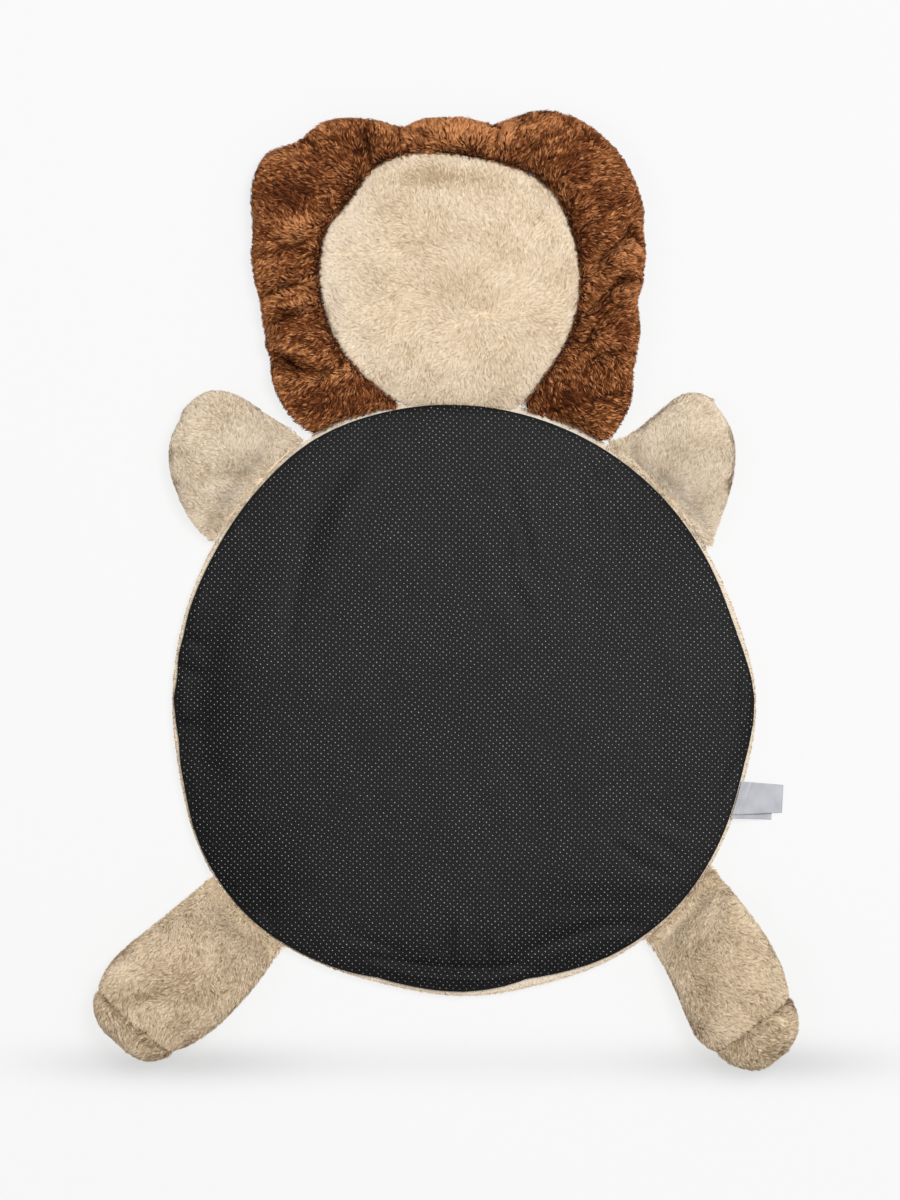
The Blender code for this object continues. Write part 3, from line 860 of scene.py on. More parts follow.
# %% List the panel's folds
PANEL_FOLDS = (
    # the rolled fold at the foot end and the valleys on both sides of it
    Fold(5.0, 2.8, ((-90, -268), (-40, -279), (20, -282), (66, -276))),
    Fold(4.5, -2.4, ((-96, -258), (-40, -267), (20, -270), (62, -264))),
    Fold(8.0, -3.0, ((60, -254), (100, -240), (140, -227), (178, -226))),
    Fold(16.0, -2.5, ((90, -205), (150, -205), (205, -205))),
    Fold(5.0, -3.0, ((-11, -224), (-18, -258))),
    Fold(5.0, 2.0, ((0, -222), (-8, -262))),
    Fold(4.5, -2.6, ((22, -240), (23, -266))),
    Fold(4.0, 1.6, ((33, -240), (33, -266))),
    Fold(9.0, -4.5, ((-194, -200), (-198, -222))),
    Fold(6.0, -1.8, ((-112, -236), (-80, -247), (-58, -255))),
    # puckers at the left edge, with the drags that run in from them
    Fold(3.2, -2.8, ((-289, 65), (-262, 54))),
    Fold(3.2, -3.0, ((-291, 33), (-262, 24))),
    Fold(3.2, -2.8, ((-290, -30), (-264, -24))),
    Fold(7.0, 2.2, ((-250, 150), (-264, 110), (-275, 60))),
    Fold(6.0, 1.8, ((-281, 24), (-280, -22))),
    Fold(8.0, 2.4, ((-228, 168), (-232, 158))),
    Fold(26.0, -3.4, ((-240, 100), (-262, 20), (-262, -60), (-240, -130))),
    Fold(14.0, -2.6, ((-208, 142), (-230, 106), (-252, 58), (-260, -2), (-256, -62), (-232, -82))),
    # the long drag that runs down from the upper left
    Fold(9.0, -3.2, ((-114, 236), (-136, 200), (-154, 164), (-164, 124), (-176, 58))),
    Fold(10.0, 1.6, ((-94, 228), (-116, 190), (-134, 150), (-144, 90))),
    Fold(18.0, 1.6, ((-160, 232), (-186, 190), (-205, 150))),
    # drags from the head end
    Fold(6.0, -1.0, ((40, 254), (48, 198), (64, 154), (64, 126))),
    Fold(4.5, 0.9, ((48, 168), (56, 128), (74, 92))),
    Fold(5.0, 0.8, ((60, 250), (66, 190), (78, 130))),
    Fold(6.0, -1.0, ((42, 114), (66, 84))),
    Fold(7.0, -2.4, ((132, 244), (142, 218))),
    Fold(5.0, 1.0, ((122, 228), (138, 174))),
    Fold(6.0, -1.2, ((144, 208), (158, 158))),
    Fold(16.0, -1.0, ((126, 158), (130, 58))),
    Fold(7.0, 1.2, ((-92, 256), (-68, 258))),
    # creases at the lower right
    Fold(4.5, -1.4, ((186, -102), (208, -124), (228, -132))),
    Fold(4.5, 1.1, ((176, -120), (200, -138))),
    Fold(5.0, -1.7, ((154, -146), (176, -166), (208, -178))),
    Fold(5.0, 1.1, ((160, -138), (184, -154))),
    Fold(4.5, -1.4, ((192, -140), (220, -164))),
    Fold(5.0, -2.0, ((272, -62), (264, -94))),
    Fold(4.0, -1.4, ((278, 24), (278, -16))),
    Fold(20.0, 1.6, ((200, 60), (222, 0), (220, -80))),
)
print(len(PANEL_FOLDS), "folds in the panel")

# %% Lay the panel
SPOKES = 400
RINGS = 84
CLOTH_THICKNESS = 1.1 * MM
soft_swell = Drift(31, 120 * MM)
fine_swell = Drift(32, 34 * MM)


def panel_height(spots):
    """Height of the panel's upper side over any place on the mat."""
    share = share_of_reach(spots)
    crown = CROWN * np.sqrt(np.clip(1 - share**CROWN_FIRMNESS, 0, 1))
    inner = np.clip((1 - share) / 0.05, 0, 1)
    ripple = 0.35 * soft_swell(spots) + 0.15 * fine_swell(spots)
    lift = relief(spots, PANEL_FOLDS) * np.clip((1.012 - share) / 0.03, 0, 1) + ripple * MM * inner
    return PANEL_EDGE_HEIGHT + crown + lift


def lay_panel():
    mesh = bmesh.new()
    bmesh.ops.create_grid(mesh, x_segments=SPOKES, y_segments=RINGS, size=0.5)
    grid = np.array([point.co[:] for point in mesh.verts])
    direction = (grid[:, 0] + 0.5) * 360
    share = 1 - (1 - (grid[:, 1] + 0.5)) ** 1.5
    reach = share * edge_reach(direction)
    turn = np.radians(direction)
    spots = np.stack([reach * np.cos(turn), reach * np.sin(turn), np.zeros(len(grid))], axis=1)
    spots[:, 2] = panel_height(spots)
    for point, spot in zip(mesh.verts, spots):
        point.co = spot
    bmesh.ops.remove_doubles(mesh, verts=mesh.verts, dist=MERGE)
    bmesh.ops.recalc_face_normals(mesh, faces=mesh.faces)
    if sum(face.normal.z for face in mesh.faces) < 0:
        bmesh.ops.reverse_faces(mesh, faces=mesh.faces)
    return mesh


# %% [markdown]
# The cloth of the panel is a plain black weave. Up close the threads make a fine grid. Its left and
# foot sides and parts of its edge are painted darker, a painted shade made by the same flat blobs of
# shade as on the floor.

# %% Weave the black cloth
THREAD_PITCH = 2.2 * MM
# painted shade: blobs that darken the panel's left and foot sides and parts of its edge
PAINTED_PANEL_SHADES = (
    Shade(-268, -30, 58, 185, 1.0),
    Shade(-205, -180, 66, 70, 0.7),
    Shade(20, -272, 230, 34, 0.75),
    Shade(130, -222, 80, 36, 0.6),
    Shade(-134, 176, 18, 60, 0.35),
    Shade(286, -60, 12, 95, 0.7),
    Shade(-20, 292, 110, 8, 0.6),
    Shade(206, 196, 50, 70, 0.6),
)
PAINTED_PANEL_SHADE_STRENGTH = 0.45


def weave_finish():
    material, shader, start = start_finish("black_weave", 0.58, Specular_IOR_Level=0.12)
    shader.inputs["Sheen Weight"].default_value = 0.02
    shader.inputs["Sheen Roughness"].default_value = 0.4
    shader.inputs["Sheen Tint"].default_value = (0.8, 0.88, 1.0, 1.0)
    place, x, y = place_on(start)
    warp = ((x + y * 0.04) * (math.tau / THREAD_PITCH)).maths("SINE")
    weft = ((y - x * 0.04) * (math.tau / THREAD_PITCH)).maths("SINE")
    thread = warp * weft
    fleck = start.node("ShaderNodeTexNoise", inputs={"Vector": place, "Scale": 520.0, "Detail": 2.0})
    dye = start.node("ShaderNodeTexNoise", inputs={"Vector": place, "Scale": 9.0, "Detail": 3.0})
    tone = 0.5 + thread * 0.16 + (fleck - 0.5) * 1.0 + (dye - 0.5) * 0.2
    # painted shade on the panel's left and foot sides and its edges
    tone = shaded(tone, x, y, PAINTED_PANEL_SHADES, PAINTED_PANEL_SHADE_STRENGTH)
    dyes = [(0.0, (0.002, 0.002, 0.0021)), (0.9, (0.017, 0.017, 0.0172))]
    feed(shader, "Base Color", tone.ramp(dyes))
    feed(shader, "Normal", bumps(start, thread * 0.5 + fleck, 0.0004, 0.7))
    return material


panel = add_piece("panel_cloth", lay_panel(), weave_finish())
belongs(panel, "non_slip_fabric", "base_panel")
upper_panel = BVHTree.FromObject(panel, bpy.context.evaluated_depsgraph_get())
wall = panel.modifiers.new("wall", "SOLIDIFY")
wall.thickness = CLOTH_THICKNESS
wall.offset = -1.0
settle(panel)
panel_area = math.pi * float(np.mean(edge_reaches)) ** 2
print("panel:", count_triangles(panel), "triangles, area", round(panel_area, 4))

# %% [markdown]
# Grip comes from thousands of small drops of soft plastic, printed on the cloth in a lattice. Each
# is a low cone with six sides, shaded smooth, drawn out a little along the way that the printer
# ran. No two take the same amount of plastic, so each has its own size and paleness.

# %% Print the grip dots
DOT_STEP = 6.8 * MM  # from one dot to the next in a row
ROW_STEP = 3.24 * MM
LATTICE_TURN = math.radians(-2.4)
PRINTER_WAY = math.radians(-48)
DOT_LENGTH = 1.45 * MM
DOT_WIDTH = 0.92 * MM
DOT_HEIGHT = 0.35 * MM
EDGE_MARGIN = 2.0 * MM


def make_drop():
    mesh = bmesh.new()
    bmesh.ops.create_cone(mesh, cap_ends=False, segments=6, radius1=0.5, radius2=0.0, depth=1.0)
    bmesh.ops.remove_doubles(mesh, verts=mesh.verts, dist=0.001)
    mesh.verts.index_update()
    spots = np.array([point.co[:] for point in mesh.verts]) + (0, 0, 0.5)
    faces = [[point.index for point in face.verts] for face in mesh.faces]
    mesh.free()
    return spots, faces


def dot_finish():
    material, shader, start = start_finish("grip_dots", 0.5, Specular_IOR_Level=0.5)
    spot = start.node("ShaderNodeUVMap", {"uv_map": HAIR_MAP})
    tone = start.node("ShaderNodeSeparateXYZ", inputs={0: spot}, output=0)
    feed(shader, "Base Color", tone.ramp([(0.0, (0.06, 0.06, 0.061)), (1.0, (0.44, 0.44, 0.45))]))
    return material


def print_dots():
    draw = np.random.default_rng(41)
    rows = int(0.32 / ROW_STEP)
    columns = int(0.32 / DOT_STEP)
    row, column = np.meshgrid(np.arange(-rows, rows + 1), np.arange(-columns, columns + 1))
    row, column = row.reshape(-1), column.reshape(-1)
    x = (column + 0.5 * (row % 2)) * DOT_STEP
    y = row * ROW_STEP
    flat = np.stack([x, y], axis=1)
    cosine, sine = math.cos(LATTICE_TURN), math.sin(LATTICE_TURN)
    flat = flat @ np.array([[cosine, -sine], [sine, cosine]]).T
    spots = np.concatenate([flat, np.zeros((len(flat), 1))], axis=1)
    pull = np.stack([Drift(42, 90 * MM)(spots), Drift(43, 90 * MM)(spots)], axis=1)
    flat = flat + pull * 0.8 * MM + draw.normal(0, 0.16 * MM, flat.shape)
    reach = np.hypot(flat[:, 0], flat[:, 1])
    edge = edge_reach(np.degrees(np.arctan2(flat[:, 1], flat[:, 0])))
    flat = flat[reach < edge - EDGE_MARGIN]
    hits = [upper_panel.ray_cast((x, y, 0.2), (0, 0, -1)) for x, y in flat]
    middles = np.array([hit[0][:] for hit in hits])
    normals = np.array([hit[1][:] for hit in hits])
    count = len(flat)
    lean = PRINTER_WAY + draw.normal(0, 0.22, count)
    along = along_surface(np.stack([np.cos(lean), np.sin(lean), np.zeros(count)], axis=1), normals)
    across = np.cross(normals, along)
    amount = draw.uniform(0.85, 1.15, count)
    drop_spots, drop_faces = make_drop()
    lengthways = along * (DOT_LENGTH * amount)[:, None]
    sideways = across * (DOT_WIDTH * amount)[:, None]
    places = middles[:, None] + drop_spots[None, :, 0, None] * lengthways[:, None]
    places += drop_spots[None, :, 1, None] * sideways[:, None]
    places += (drop_spots[None, :, 2, None] * DOT_HEIGHT - 0.03 * MM) * normals[:, None]
    tone = 0.6 + 0.10 * draw.normal(size=count) + 0.06 * Drift(44, 50 * MM)(middles)
    tone = np.clip(tone, 0.05, 0.97)
    shades = np.zeros((count, len(drop_spots), 2))
    shades[:, :, 0] = tone[:, None] + drop_spots[None, :, 0] * 0.002
    shades[:, :, 1] = 0.1 + drop_spots[None, :, 1] * 0.003
    dots = join_copies("grip_dots", places, drop_faces, shades, dot_finish())
    belongs(dots, "non_slip_fabric")
    print(count, "grip dots,", count_triangles(dots), "triangles")


print_dots()

# %% [markdown]
# The head is a stuffed ball that lies on its face, so its back panel shows: short cream plush,
# stroked by hand and ruffled in patches. A stroke is a place and the direction in degrees that the
# hair lies in there; between strokes the directions blend. Beside the mat the hair leans over the
# seam and hides it.

# %% Stuff the head and grow its pile
HEAD_CENTRE = np.array((-13.5, 415.5, 0)) * MM
HEAD_DEPTH = 3.8 * MM
HEAD_FOLDS = (
    Fold(3.0, -1.6, ((-78, 450), (-60, 456), (-40, 452), (-22, 446))),
    Fold(4.0, 1.2, ((-80, 442), (-56, 448), (-28, 440))),
    Fold(5.0, -1.4, ((-66, 508), (-24, 514), (28, 506))),
    Fold(5.0, -1.2, ((-34, 396), (-18, 404), (-8, 410))),
    Fold(4.0, -1.2, ((72, 484), (74, 462), (82, 446))),
    Fold(5.0, -1.2, ((-108, 318), (-74, 324), (-40, 332))),
    Fold(5.0, -1.2, ((-114, 368), (-102, 346), (-88, 326))),
)
HEAD_PATCHES = (
    Patch(-16, 514, 50, 8, -0.18),
    Patch(-58, 494, 12, 20, -0.09),
    Patch(-50, 452, 30, 3.5, -0.21),
    Patch(-24, 402, 15, 9, -0.13),
    Patch(70, 464, 8, 16, -0.07),
    Patch(-72, 322, 34, 8, -0.09),
    Patch(-34, 332, 12, 14, -0.12),
    Patch(36, 354, 24, 12, -0.08),
    Patch(-128, 436, 26, 66, 0.2),
    Patch(-110, 498, 26, 24, 0.16),
    Patch(-14, 484, 40, 12, 0.07),
    Patch(-114, 368, 16, 40, 0.05),
    Patch(-30, 330, 70, 34, 0.06),
    Patch(-14, 520, 90, 16, -0.13),
)
HEAD_PILE = Pile(6.0 * MM, 0.8 * MM, 1.3 * MM, 0.7, 0.26, 5, 0.35, 0.19, 0.32, 0.03, 0.4)
HEAD_FRINGE = 8 * MM
Stroke = namedtuple("Stroke", "x y direction")
HEAD_STROKES = (
    Stroke(-115, 470, 150),
    Stroke(-125, 420, 165),
    Stroke(-110, 360, 205),
    Stroke(-75, 320, 235),
    Stroke(-70, 450, 150),
    Stroke(-65, 400, 165),
    Stroke(-40, 490, 120),
    Stroke(-20, 430, 110),
    Stroke(-30, 370, 200),
    Stroke(30, 480, 95),
    Stroke(30, 420, 75),
    Stroke(10, 350, 290),
    Stroke(75, 460, 60),
    Stroke(85, 400, 20),
    Stroke(65, 340, 310),
    Stroke(0, 300, 265),
)


def over_the_seam(spots, ways, side=-1.0):
    """Turn the hair that grows right beside the mat towards it, or away from it with side 1."""
    near = beside_the_mat(spots)[:, None]
    return ways * (1 - near) + unit(spots * (1, 1, 0)) * near * side


def stroked(spots):
    """Combed by the nearest strokes of the hand."""
    ways = np.zeros_like(spots)
    for stroke in HEAD_STROKES:
        gap = np.hypot(spots[:, 0] - stroke.x * MM, spots[:, 1] - stroke.y * MM)
        turn = math.radians(stroke.direction)
        ways += np.array((math.cos(turn), math.sin(turn), 0.0)) / (gap[:, None] ** 2 + (14 * MM) ** 2)
    edge = np.exp(-((gaps_to(spots, ["mane"]) / HEAD_FRINGE) ** 2))[:, None]
    outwards = unit((spots - HEAD_CENTRE) * (1, 1, 0))
    return over_the_seam(spots, unit(ways) * (1 - edge) + outwards * edge)


head_mesh = stuffed_copy("head", HEAD_DEPTH, seam_lift=4.5 * MM)
head = stuffed("head_cloth", head_mesh, ground_finishes["head_plush"], "head")
press_folds(head, HEAD_FOLDS)
belongs(head, "head_plush", "head")
grow_pile(
    "head_pile", head, 99000, 52, CREAM, HEAD_PILE, stroked, upper_side,
    HEAD_FOLDS, HEAD_PATCHES, 0.43, Seam(["mane"], 16 * MM, 0.16),
)

# %% [markdown]
# The mane is a band of longer brown plush, gathered on a thread at the head's seam, so it swells
# into lobes outside and creases across. The solid has each gather, and the hair on top is combed
# outwards and ruffled more than the head's.

# %% List the mane's creases and its patches of painted light and shade
MANE_FOLDS = (
    Fold(3.2, -6, ((-202, 400), (-182, 408), (-164, 412), (-148, 418))),
    Fold(4.0, 3, ((-200, 394), (-180, 402), (-148, 410))),
    Fold(4.0, -4, ((-196, 378), (-174, 378), (-158, 384), (-146, 390))),
    Fold(4.0, 2.5, ((-192, 386), (-174, 388), (-152, 396))),
    Fold(6.0, -8, ((-184, 344), (-174, 338), (-164, 330))),
    Fold(4.0, -7, ((-168, 332), (-152, 324), (-136, 326), (-120, 332))),
    Fold(5.0, 3, ((-192, 320), (-164, 318), (-134, 318), (-110, 330))),
    Fold(5.0, 2.5, ((-180, 354), (-158, 344), (-132, 338))),
    Fold(5.0, -3, ((-180, 448), (-164, 452), (-148, 458))),
    Fold(6.0, 2.5, ((-182, 466), (-164, 470), (-146, 474))),
    Fold(4.0, -3, ((-192, 428), (-174, 426), (-156, 430))),
    Fold(4.0, -3, ((-202, 462), (-188, 464))),
    Fold(3.5, -4, ((-166, 556), (-152, 552), (-138, 540))),
    Fold(3.0, -4, ((-124, 552), (-112, 544), (-102, 536))),
    Fold(4.5, -8, ((-98, 564), (-96, 548), (-94, 532))),
    Fold(3.0, -6, ((-64, 580), (-64, 562), (-62, 540))),
    Fold(3.0, -5, ((-54, 568), (-44, 562), (-30, 556))),
    Fold(3.0, 2.5, ((-60, 562), (-50, 556), (-40, 550))),
    Fold(4.0, -3, ((-22, 548), (-2, 544), (18, 540))),
    Fold(2.8, -6, ((18, 578), (28, 570), (38, 568))),
    Fold(3.2, -8, ((36, 566), (32, 552), (30, 542))),
    Fold(3.5, 3, ((42, 572), (40, 548))),
    Fold(3.5, -4, ((50, 568), (56, 574), (62, 582))),
    Fold(4.5, -6, ((58, 528), (68, 542), (78, 556))),
    Fold(4.0, -2.5, ((96, 578), (108, 568))),
    Fold(5.0, -2.5, ((122, 564), (134, 548))),
    Fold(5.0, -3, ((140, 488), (152, 492))),
    Fold(4.5, -7, ((134, 436), (148, 448), (158, 458), (170, 470))),
    Fold(4.0, -4, ((164, 460), (178, 450))),
    Fold(4.5, 3, ((136, 426), (152, 442), (164, 452), (176, 442))),
    Fold(3.5, -3, ((116, 430), (136, 436))),
    Fold(4.5, -5, ((124, 386), (140, 402))),
    Fold(6.0, -7, ((142, 404), (154, 418), (168, 422))),
    Fold(4.0, 3, ((142, 396), (158, 406), (174, 412))),
    Fold(4.0, -6, ((120, 356), (128, 368), (140, 382))),
    Fold(6.0, -4, ((144, 390), (154, 388))),
    Fold(6.0, -3.5, ((142, 368), (150, 372))),
    Fold(3.5, -3, ((110, 352), (128, 354))),
    Fold(3.2, -6, ((124, 340), (140, 346), (154, 348), (172, 344))),
    Fold(4.0, 2.5, ((136, 338), (154, 340), (170, 338))),
    Fold(5.0, -4, ((112, 332), (124, 326))),
    Fold(4.0, -2.5, ((84, 318), (108, 322))),
    Fold(4.0, -3, ((136, 304), (168, 308))),
    Fold(5.0, -2.5, ((80, 294), (94, 288))),
)
MANE_PATCHES = (
    Patch(-164, 502, 36, 18, -0.27),
    Patch(-112, 510, 14, 22, -0.11),
    Patch(-134, 298, 34, 18, -0.22),
    Patch(106, 494, 16, 34, -0.1),
    Patch(130, 556, 14, 12, -0.08),
    Patch(162, 368, 14, 16, -0.14),
    Patch(116, 300, 42, 14, -0.29),
    Patch(-174, 338, 14, 10, -0.16),
    Patch(-178, 540, 20, 9, 0.19),
    Patch(-134, 572, 22, 8, 0.16),
    Patch(-166, 470, 22, 12, 0.24),
    Patch(-192, 434, 18, 10, 0.1),
    Patch(-164, 396, 18, 7, 0.11),
    Patch(-180, 306, 12, 20, 0.11),
    Patch(-118, 326, 14, 8, 0.16),
    Patch(-64, 570, 22, 9, 0.11),
    Patch(-14, 570, 36, 12, 0.19),
    Patch(40, 558, 6, 16, 0.26),
    Patch(84, 574, 16, 8, 0.13),
    Patch(140, 576, 20, 12, 0.13),
    Patch(126, 418, 8, 22, 0.16),
    Patch(164, 436, 12, 14, 0.16),
    Patch(166, 400, 9, 12, 0.22),
    Patch(136, 284, 16, 10, 0.08),
    Patch(8, 562, 66, 18, 0.23),
)
print(len(MANE_FOLDS), "creases,", len(MANE_PATCHES), "patches")

# %% Gather the mane and grow its pile
MANE_DEPTH = 3.4 * MM
MANE_PILE = Pile(6.6 * MM, 0.9 * MM, 1.8 * MM, 0.6, 0.24, 5, 0.4, 0.27, 0.36, 0.08, -0.25)


def from_the_seam(spots):
    return over_the_seam(spots, unit((spots - HEAD_CENTRE) * (1, 1, 0)) + np.array((0, 0, -0.15)), 1.0)


mane_mesh = stuffed_copy("mane", MANE_DEPTH, seam_lift=4.5 * MM)
mane = stuffed("mane_cloth", mane_mesh, ground_finishes["brown_plush"], "mane")
press_folds(mane, MANE_FOLDS, 2.1)
belongs(mane, "brown_plush", "mane")
grow_pile(
    "mane_pile", mane, 99000, 63, BROWN, MANE_PILE, from_the_seam, upper_side,
    MANE_FOLDS, MANE_PATCHES, 0.44, Seam(["head"], 3 * MM, -0.15),
)

# %% [markdown]
# Arms and legs are stuffed tubes sewn shut along their sides and caught in the mat's seam. Their
# plush is the same as the mat's, a shade deeper on the legs, and is stroked towards the paws.

# %% List the limbs' folds and patches
LIMB_SHAPES = {
    "arm_left": (
        (
            Fold(6.0, -1.6, ((-250, 220), (-228, 222), (-202, 228))),
            Fold(5.0, -1.8, ((-236, 290), (-220, 294), (-212, 296))),
            Fold(6.0, 1.4, ((-258, 210), (-228, 210), (-206, 218))),
            Fold(5.0, -1.4, ((-284, 258), (-278, 236), (-272, 226))),
            Fold(5.0, -1.4, ((-258, 186), (-242, 180), (-236, 176))),
        ),
        (
            Patch(-222, 294, 11, 5, -0.12),
            Patch(-228, 222, 18, 6, -0.1),
            Patch(-244, 178, 9, 12, -0.12),
            Patch(-280, 244, 7, 16, -0.06),
            Patch(-272, 298, 18, 18, 0.04),
            Patch(-260, 248, 6, 18, 0.04),
            Patch(-288, 268, 6, 40, 0.12),
            Patch(-216, 250, 14, 14, 0.08),
            Patch(-236, 216, 12, 12, 0.06),
        ),
    ),
    "arm_right": (
        (
            Fold(7.0, -1.8, ((226, 296), (240, 284), (248, 274))),
            Fold(6.0, -1.4, ((192, 250), (208, 246), (220, 238))),
            Fold(4.0, -1.4, ((162, 254), (170, 240), (176, 228))),
            Fold(4.0, -1.5, ((230, 196), (242, 192))),
        ),
        (
            Patch(242, 284, 14, 10, -0.13),
            Patch(204, 250, 12, 9, -0.08),
            Patch(264, 246, 8, 18, -0.09),
            Patch(170, 246, 5, 14, -0.05),
            Patch(240, 194, 8, 4, -0.18),
            Patch(184, 258, 10, 14, 0.09),
            Patch(220, 204, 8, 18, 0.08),
            Patch(266, 218, 5, 30, 0.08),
            Patch(190, 232, 12, 12, 0.1),
            Patch(212, 200, 12, 14, 0.1),
            Patch(230, 174, 8, 10, 0.1),
        ),
    ),
    "leg_left": (
        (
            Fold(6.0, -3.6, ((-332, -304), (-316, -298), (-300, -290), (-274, -276))),
            Fold(6.0, 2.0, ((-314, -312), (-286, -298), (-258, -278))),
            Fold(5.0, -1.6, ((-268, -320), (-254, -302), (-242, -292))),
            Fold(4.0, -1.6, ((-350, -292), (-338, -302), (-332, -310))),
            Fold(5.0, -1.6, ((-314, -252), (-292, -236), (-268, -228))),
            Fold(5.0, -1.4, ((-264, -274), (-250, -252), (-248, -238))),
        ),
        (
            Patch(-278, -322, 20, 12, -0.2),
            Patch(-308, -294, 24, 7, -0.22),
            Patch(-346, -302, 9, 6, -0.15),
            Patch(-268, -292, 30, 8, -0.09),
            Patch(-344, -268, 16, 12, 0.21),
            Patch(-308, -250, 22, 14, 0.12),
            Patch(-250, -250, 10, 14, 0.14),
            Patch(-248, -332, 20, 6, 0.09),
            Patch(-202, -236, 14, 14, -0.06),
            Patch(-238, -206, 10, 10, -0.08),
            Patch(-274, -212, 10, 8, -0.08),
        ),
    ),
    "leg_right": (
        (
            Fold(3.5, -3.5, ((308, -312), (318, -304), (328, -298))),
            Fold(3.5, -3.0, ((278, -332), (286, -324), (294, -318))),
            Fold(5.0, -1.6, ((232, -292), (240, -278), (242, -268))),
            Fold(5.0, -1.6, ((262, -290), (276, -306), (284, -316))),
            Fold(5.0, -1.4, ((252, -186), (250, -198), (248, -210))),
            Fold(6.0, -1.4, ((256, -252), (264, -268), (268, -284))),
        ),
        (
            Patch(314, -310, 8, 4, -0.33),
            Patch(294, -318, 5, 3, -0.27),
            Patch(236, -306, 16, 11, -0.09),
            Patch(266, -238, 14, 8, -0.08),
            Patch(234, -282, 10, 14, -0.08),
            Patch(250, -328, 14, 12, 0.18),
            Patch(286, -280, 24, 18, 0.08),
            Patch(226, -210, 12, 8, 0.08),
            Patch(200, -232, 16, 16, 0.16),
            Patch(236, -196, 10, 8, -0.05),
        ),
    ),
    "sole_left": (
        (
            Fold(3.5, -2.5, ((-330, -324), (-322, -334), (-308, -348))),
        ),
        (
            Patch(-360, -296, 8, 12, 0.18),
            Patch(-324, -350, 20, 9, 0.06),
            Patch(-340, -332, 18, 9, -0.09),
        ),
    ),
    "sole_right": (
        (
            Fold(3.5, -2.0, ((280, -334), (272, -344))),
            Fold(4.0, 1.5, ((308, -318), (314, -318))),
        ),
        (
            Patch(312, -318, 4.5, 3.5, 0.48),
            Patch(304, -350, 18, 12, -0.15),
            Patch(306, -328, 6, 3, -0.22),
            Patch(256, -358, 12, 7, -0.08),
        ),
    ),
}

# %% Stuff the limbs and grow their pile
LIMB_DEPTH = 3.3 * MM
ARM_PILE = Pile(5.6 * MM, 0.8 * MM, 1.2 * MM, 0.7, 0.26, 5, 0.35, 0.19, 0.6, 0.025, 0.5)
LEG_PILE = Pile(5.8 * MM, 0.85 * MM, 1.4 * MM, 0.7, 0.24, 5, 0.35, 0.20, 0.6, 0.03, 0.5)
Limb = namedtuple("Limb", "node hairs seed plush pile fill tone seam")
LIMB_SEAM_LIFT = 3.6 * MM
ARM_SEAM_SHADE = Seam(["mat_pad"], 7 * MM, -0.08)
LIMBS = (
    Limb("arm_left", 42000, 71, TAN, ARM_PILE, 0.5, 0.40, ARM_SEAM_SHADE),
    Limb("arm_right", 42000, 76, TAN, ARM_PILE, 0.5, 0.40, ARM_SEAM_SHADE),
    Limb("leg_left", 66000, 81, WORN, LEG_PILE, 0.7, 0.40, Seam(["sole_left"], 1.7 * MM, -0.42)),
    Limb("leg_right", 66000, 86, WORN, LEG_PILE, 0.7, 0.40, Seam(["sole_right"], 1.7 * MM, -0.42)),
    Limb("sole_left", 15000, 91, WORN, LEG_PILE, 0.7, 0.32, Seam(["leg_left"], 1.7 * MM, -0.42)),
    Limb("sole_right", 15000, 96, WORN, LEG_PILE, 0.7, 0.32, Seam(["leg_right"], 1.7 * MM, -0.42)),
)


def towards_the_paw(spots):
    return over_the_seam(spots, unit(spots * (1, 1, 0)) + np.array((0, 0, -0.25)))


for limb in LIMBS:
    limb_folds, limb_patches = LIMB_SHAPES[limb.node]
    limb_mesh = stuffed_copy(limb.node, LIMB_DEPTH, seam_lift=LIMB_SEAM_LIFT)
    cloth = stuffed(limb.node + "_cloth", limb_mesh, ground_finishes[limb.plush.slot], limb.node)
    press_folds(cloth, limb_folds)
    belongs(cloth, limb.plush.slot, limb.node)
    grow_pile(
        limb.node + "_pile", cloth, limb.hairs, limb.seed, limb.plush, limb.pile, towards_the_paw,
        upper_side, limb_folds, limb_patches, limb.tone, limb.seam,
    )

# %% [markdown]
# The care label is a strip of satin folded in two and caught in the seam, so it has two leaves.
# They are thin, a little stiff, and droop to the floor. Nothing is printed on them here.

# %% Sew in the care label
Leaf = namedtuple("Leaf", "node first last outer inner_height outer_height flat")
LEAVES = (
    Leaf("label_upper_leaf", -16.6, -23.4, ((321, -87), (319.5, -115)), 18.9, 2.9, (0.045, 0.034)),
    Leaf("label_under_leaf", -17.6, -24.2, ((310, -94), (309, -122)), 17.5, 1.5, (0.038, 0.034)),
)
LABEL_THICKNESS = 0.35 * MM
LABEL_DROOP = 1.35
LABEL_ROOT = 1.6 * MM
FOLD_PLACE = 0.24  # the small fold across a leaf's inner corner, as shares of the leaf
FOLD_SLANT = 0.12
FOLD_WIDTH = 0.035
FOLD_RISE = 1.1 * MM


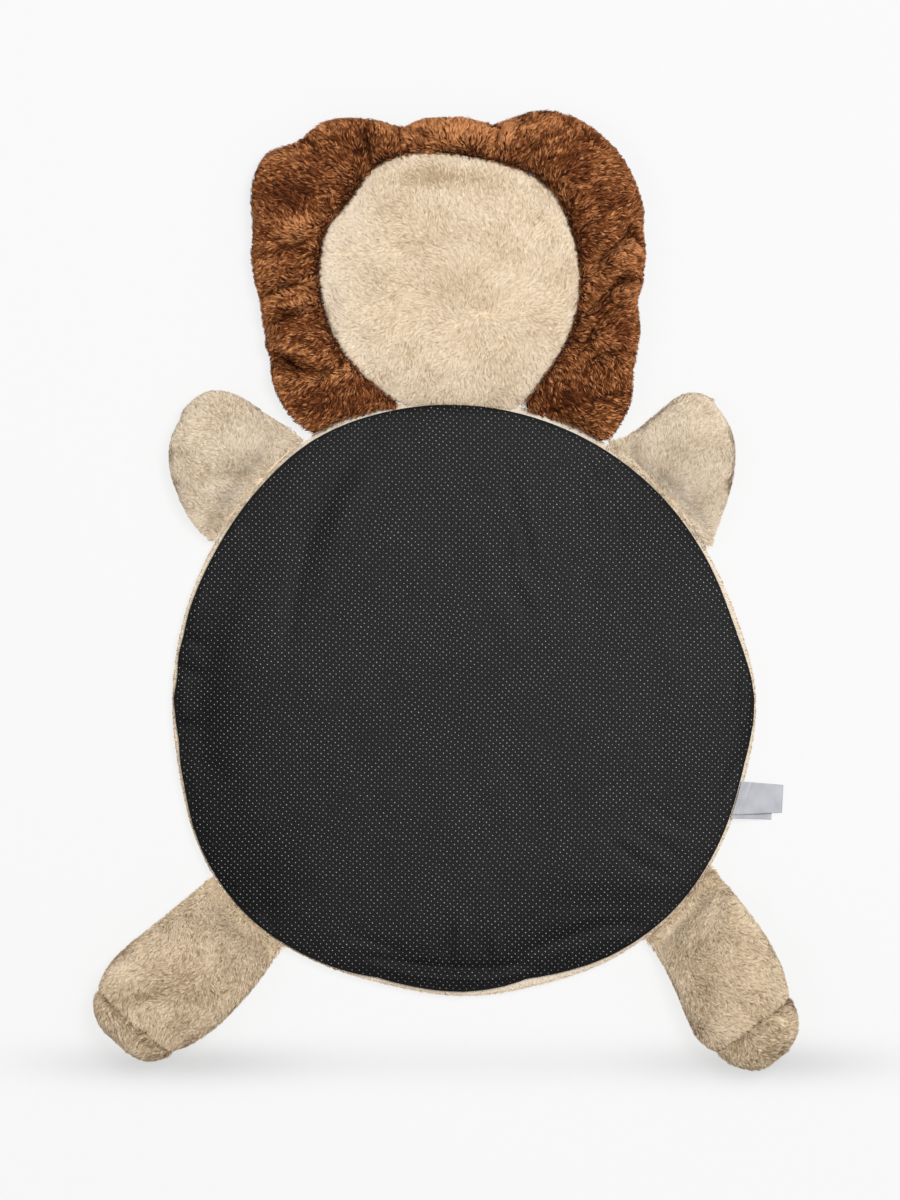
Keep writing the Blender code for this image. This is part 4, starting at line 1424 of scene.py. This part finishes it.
def satin_finish():
    material, shader, start = start_finish("label_satin", 0.42, Specular_IOR_Level=0.5)
    shader.inputs["Sheen Weight"].default_value = 0.2
    place, _, y = place_on(start)
    rib = (y * (math.tau / (0.9 * MM))).maths("SINE")
    cloudy = start.node("ShaderNodeTexNoise", inputs={"Vector": place, "Scale": 60.0, "Detail": 3.0})
    tone = cloudy * 0.9 + rib * 0.05
    feed(shader, "Base Color", tone.ramp([(0.25, (0.38, 0.38, 0.42)), (0.7, (0.50, 0.50, 0.54))]))
    feed(shader, "Normal", bumps(start, rib, 0.0001, 0.5))
    return material


def sew_leaf(leaf, material):
    corners = [Vector((x, y, 0)) * MM for x, y in leaf.outer]
    mesh = bmesh.new()
    bmesh.ops.create_grid(mesh, x_segments=48, y_segments=32, size=0.5)
    for point in mesh.verts:
        out = point.co.x + 0.5
        side = point.co.y + 0.5
        direction = leaf.first + (leaf.last - leaf.first) * side
        turn = math.radians(direction)
        reach = float(edge_reach(direction % 360)) + LABEL_ROOT
        inner = Vector((reach * math.cos(turn), reach * math.sin(turn), 0))
        spot = inner.lerp(corners[0].lerp(corners[1], side), out)
        drop = leaf.inner_height - leaf.outer_height
        spot.z = (leaf.outer_height + drop * (1 - out) ** LABEL_DROOP) * MM
        spot.z += 0.25 * MM * math.sin(out * 7 + side * 5) * out * (1 - out)
        gap = (out - FOLD_PLACE + FOLD_SLANT * side) / FOLD_WIDTH
        spot.z += FOLD_RISE * math.exp(-(gap**2)) * (1 - side)
        point.co = spot
    bmesh.ops.recalc_face_normals(mesh, faces=mesh.faces)
    piece = add_piece(leaf.node + "_satin", mesh, material)
    wall = piece.modifiers.new("wall", "SOLIDIFY")
    wall.thickness = LABEL_THICKNESS
    wall.offset = 0.0
    settle(piece)
    belongs(piece, "label_satin", leaf.node)
    return piece


satin = satin_finish()
for leaf in LEAVES:
    print(sew_leaf(leaf, satin).name)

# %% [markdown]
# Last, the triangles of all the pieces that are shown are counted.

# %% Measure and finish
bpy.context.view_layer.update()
print("triangles", sum(count_triangles(piece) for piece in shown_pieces()))
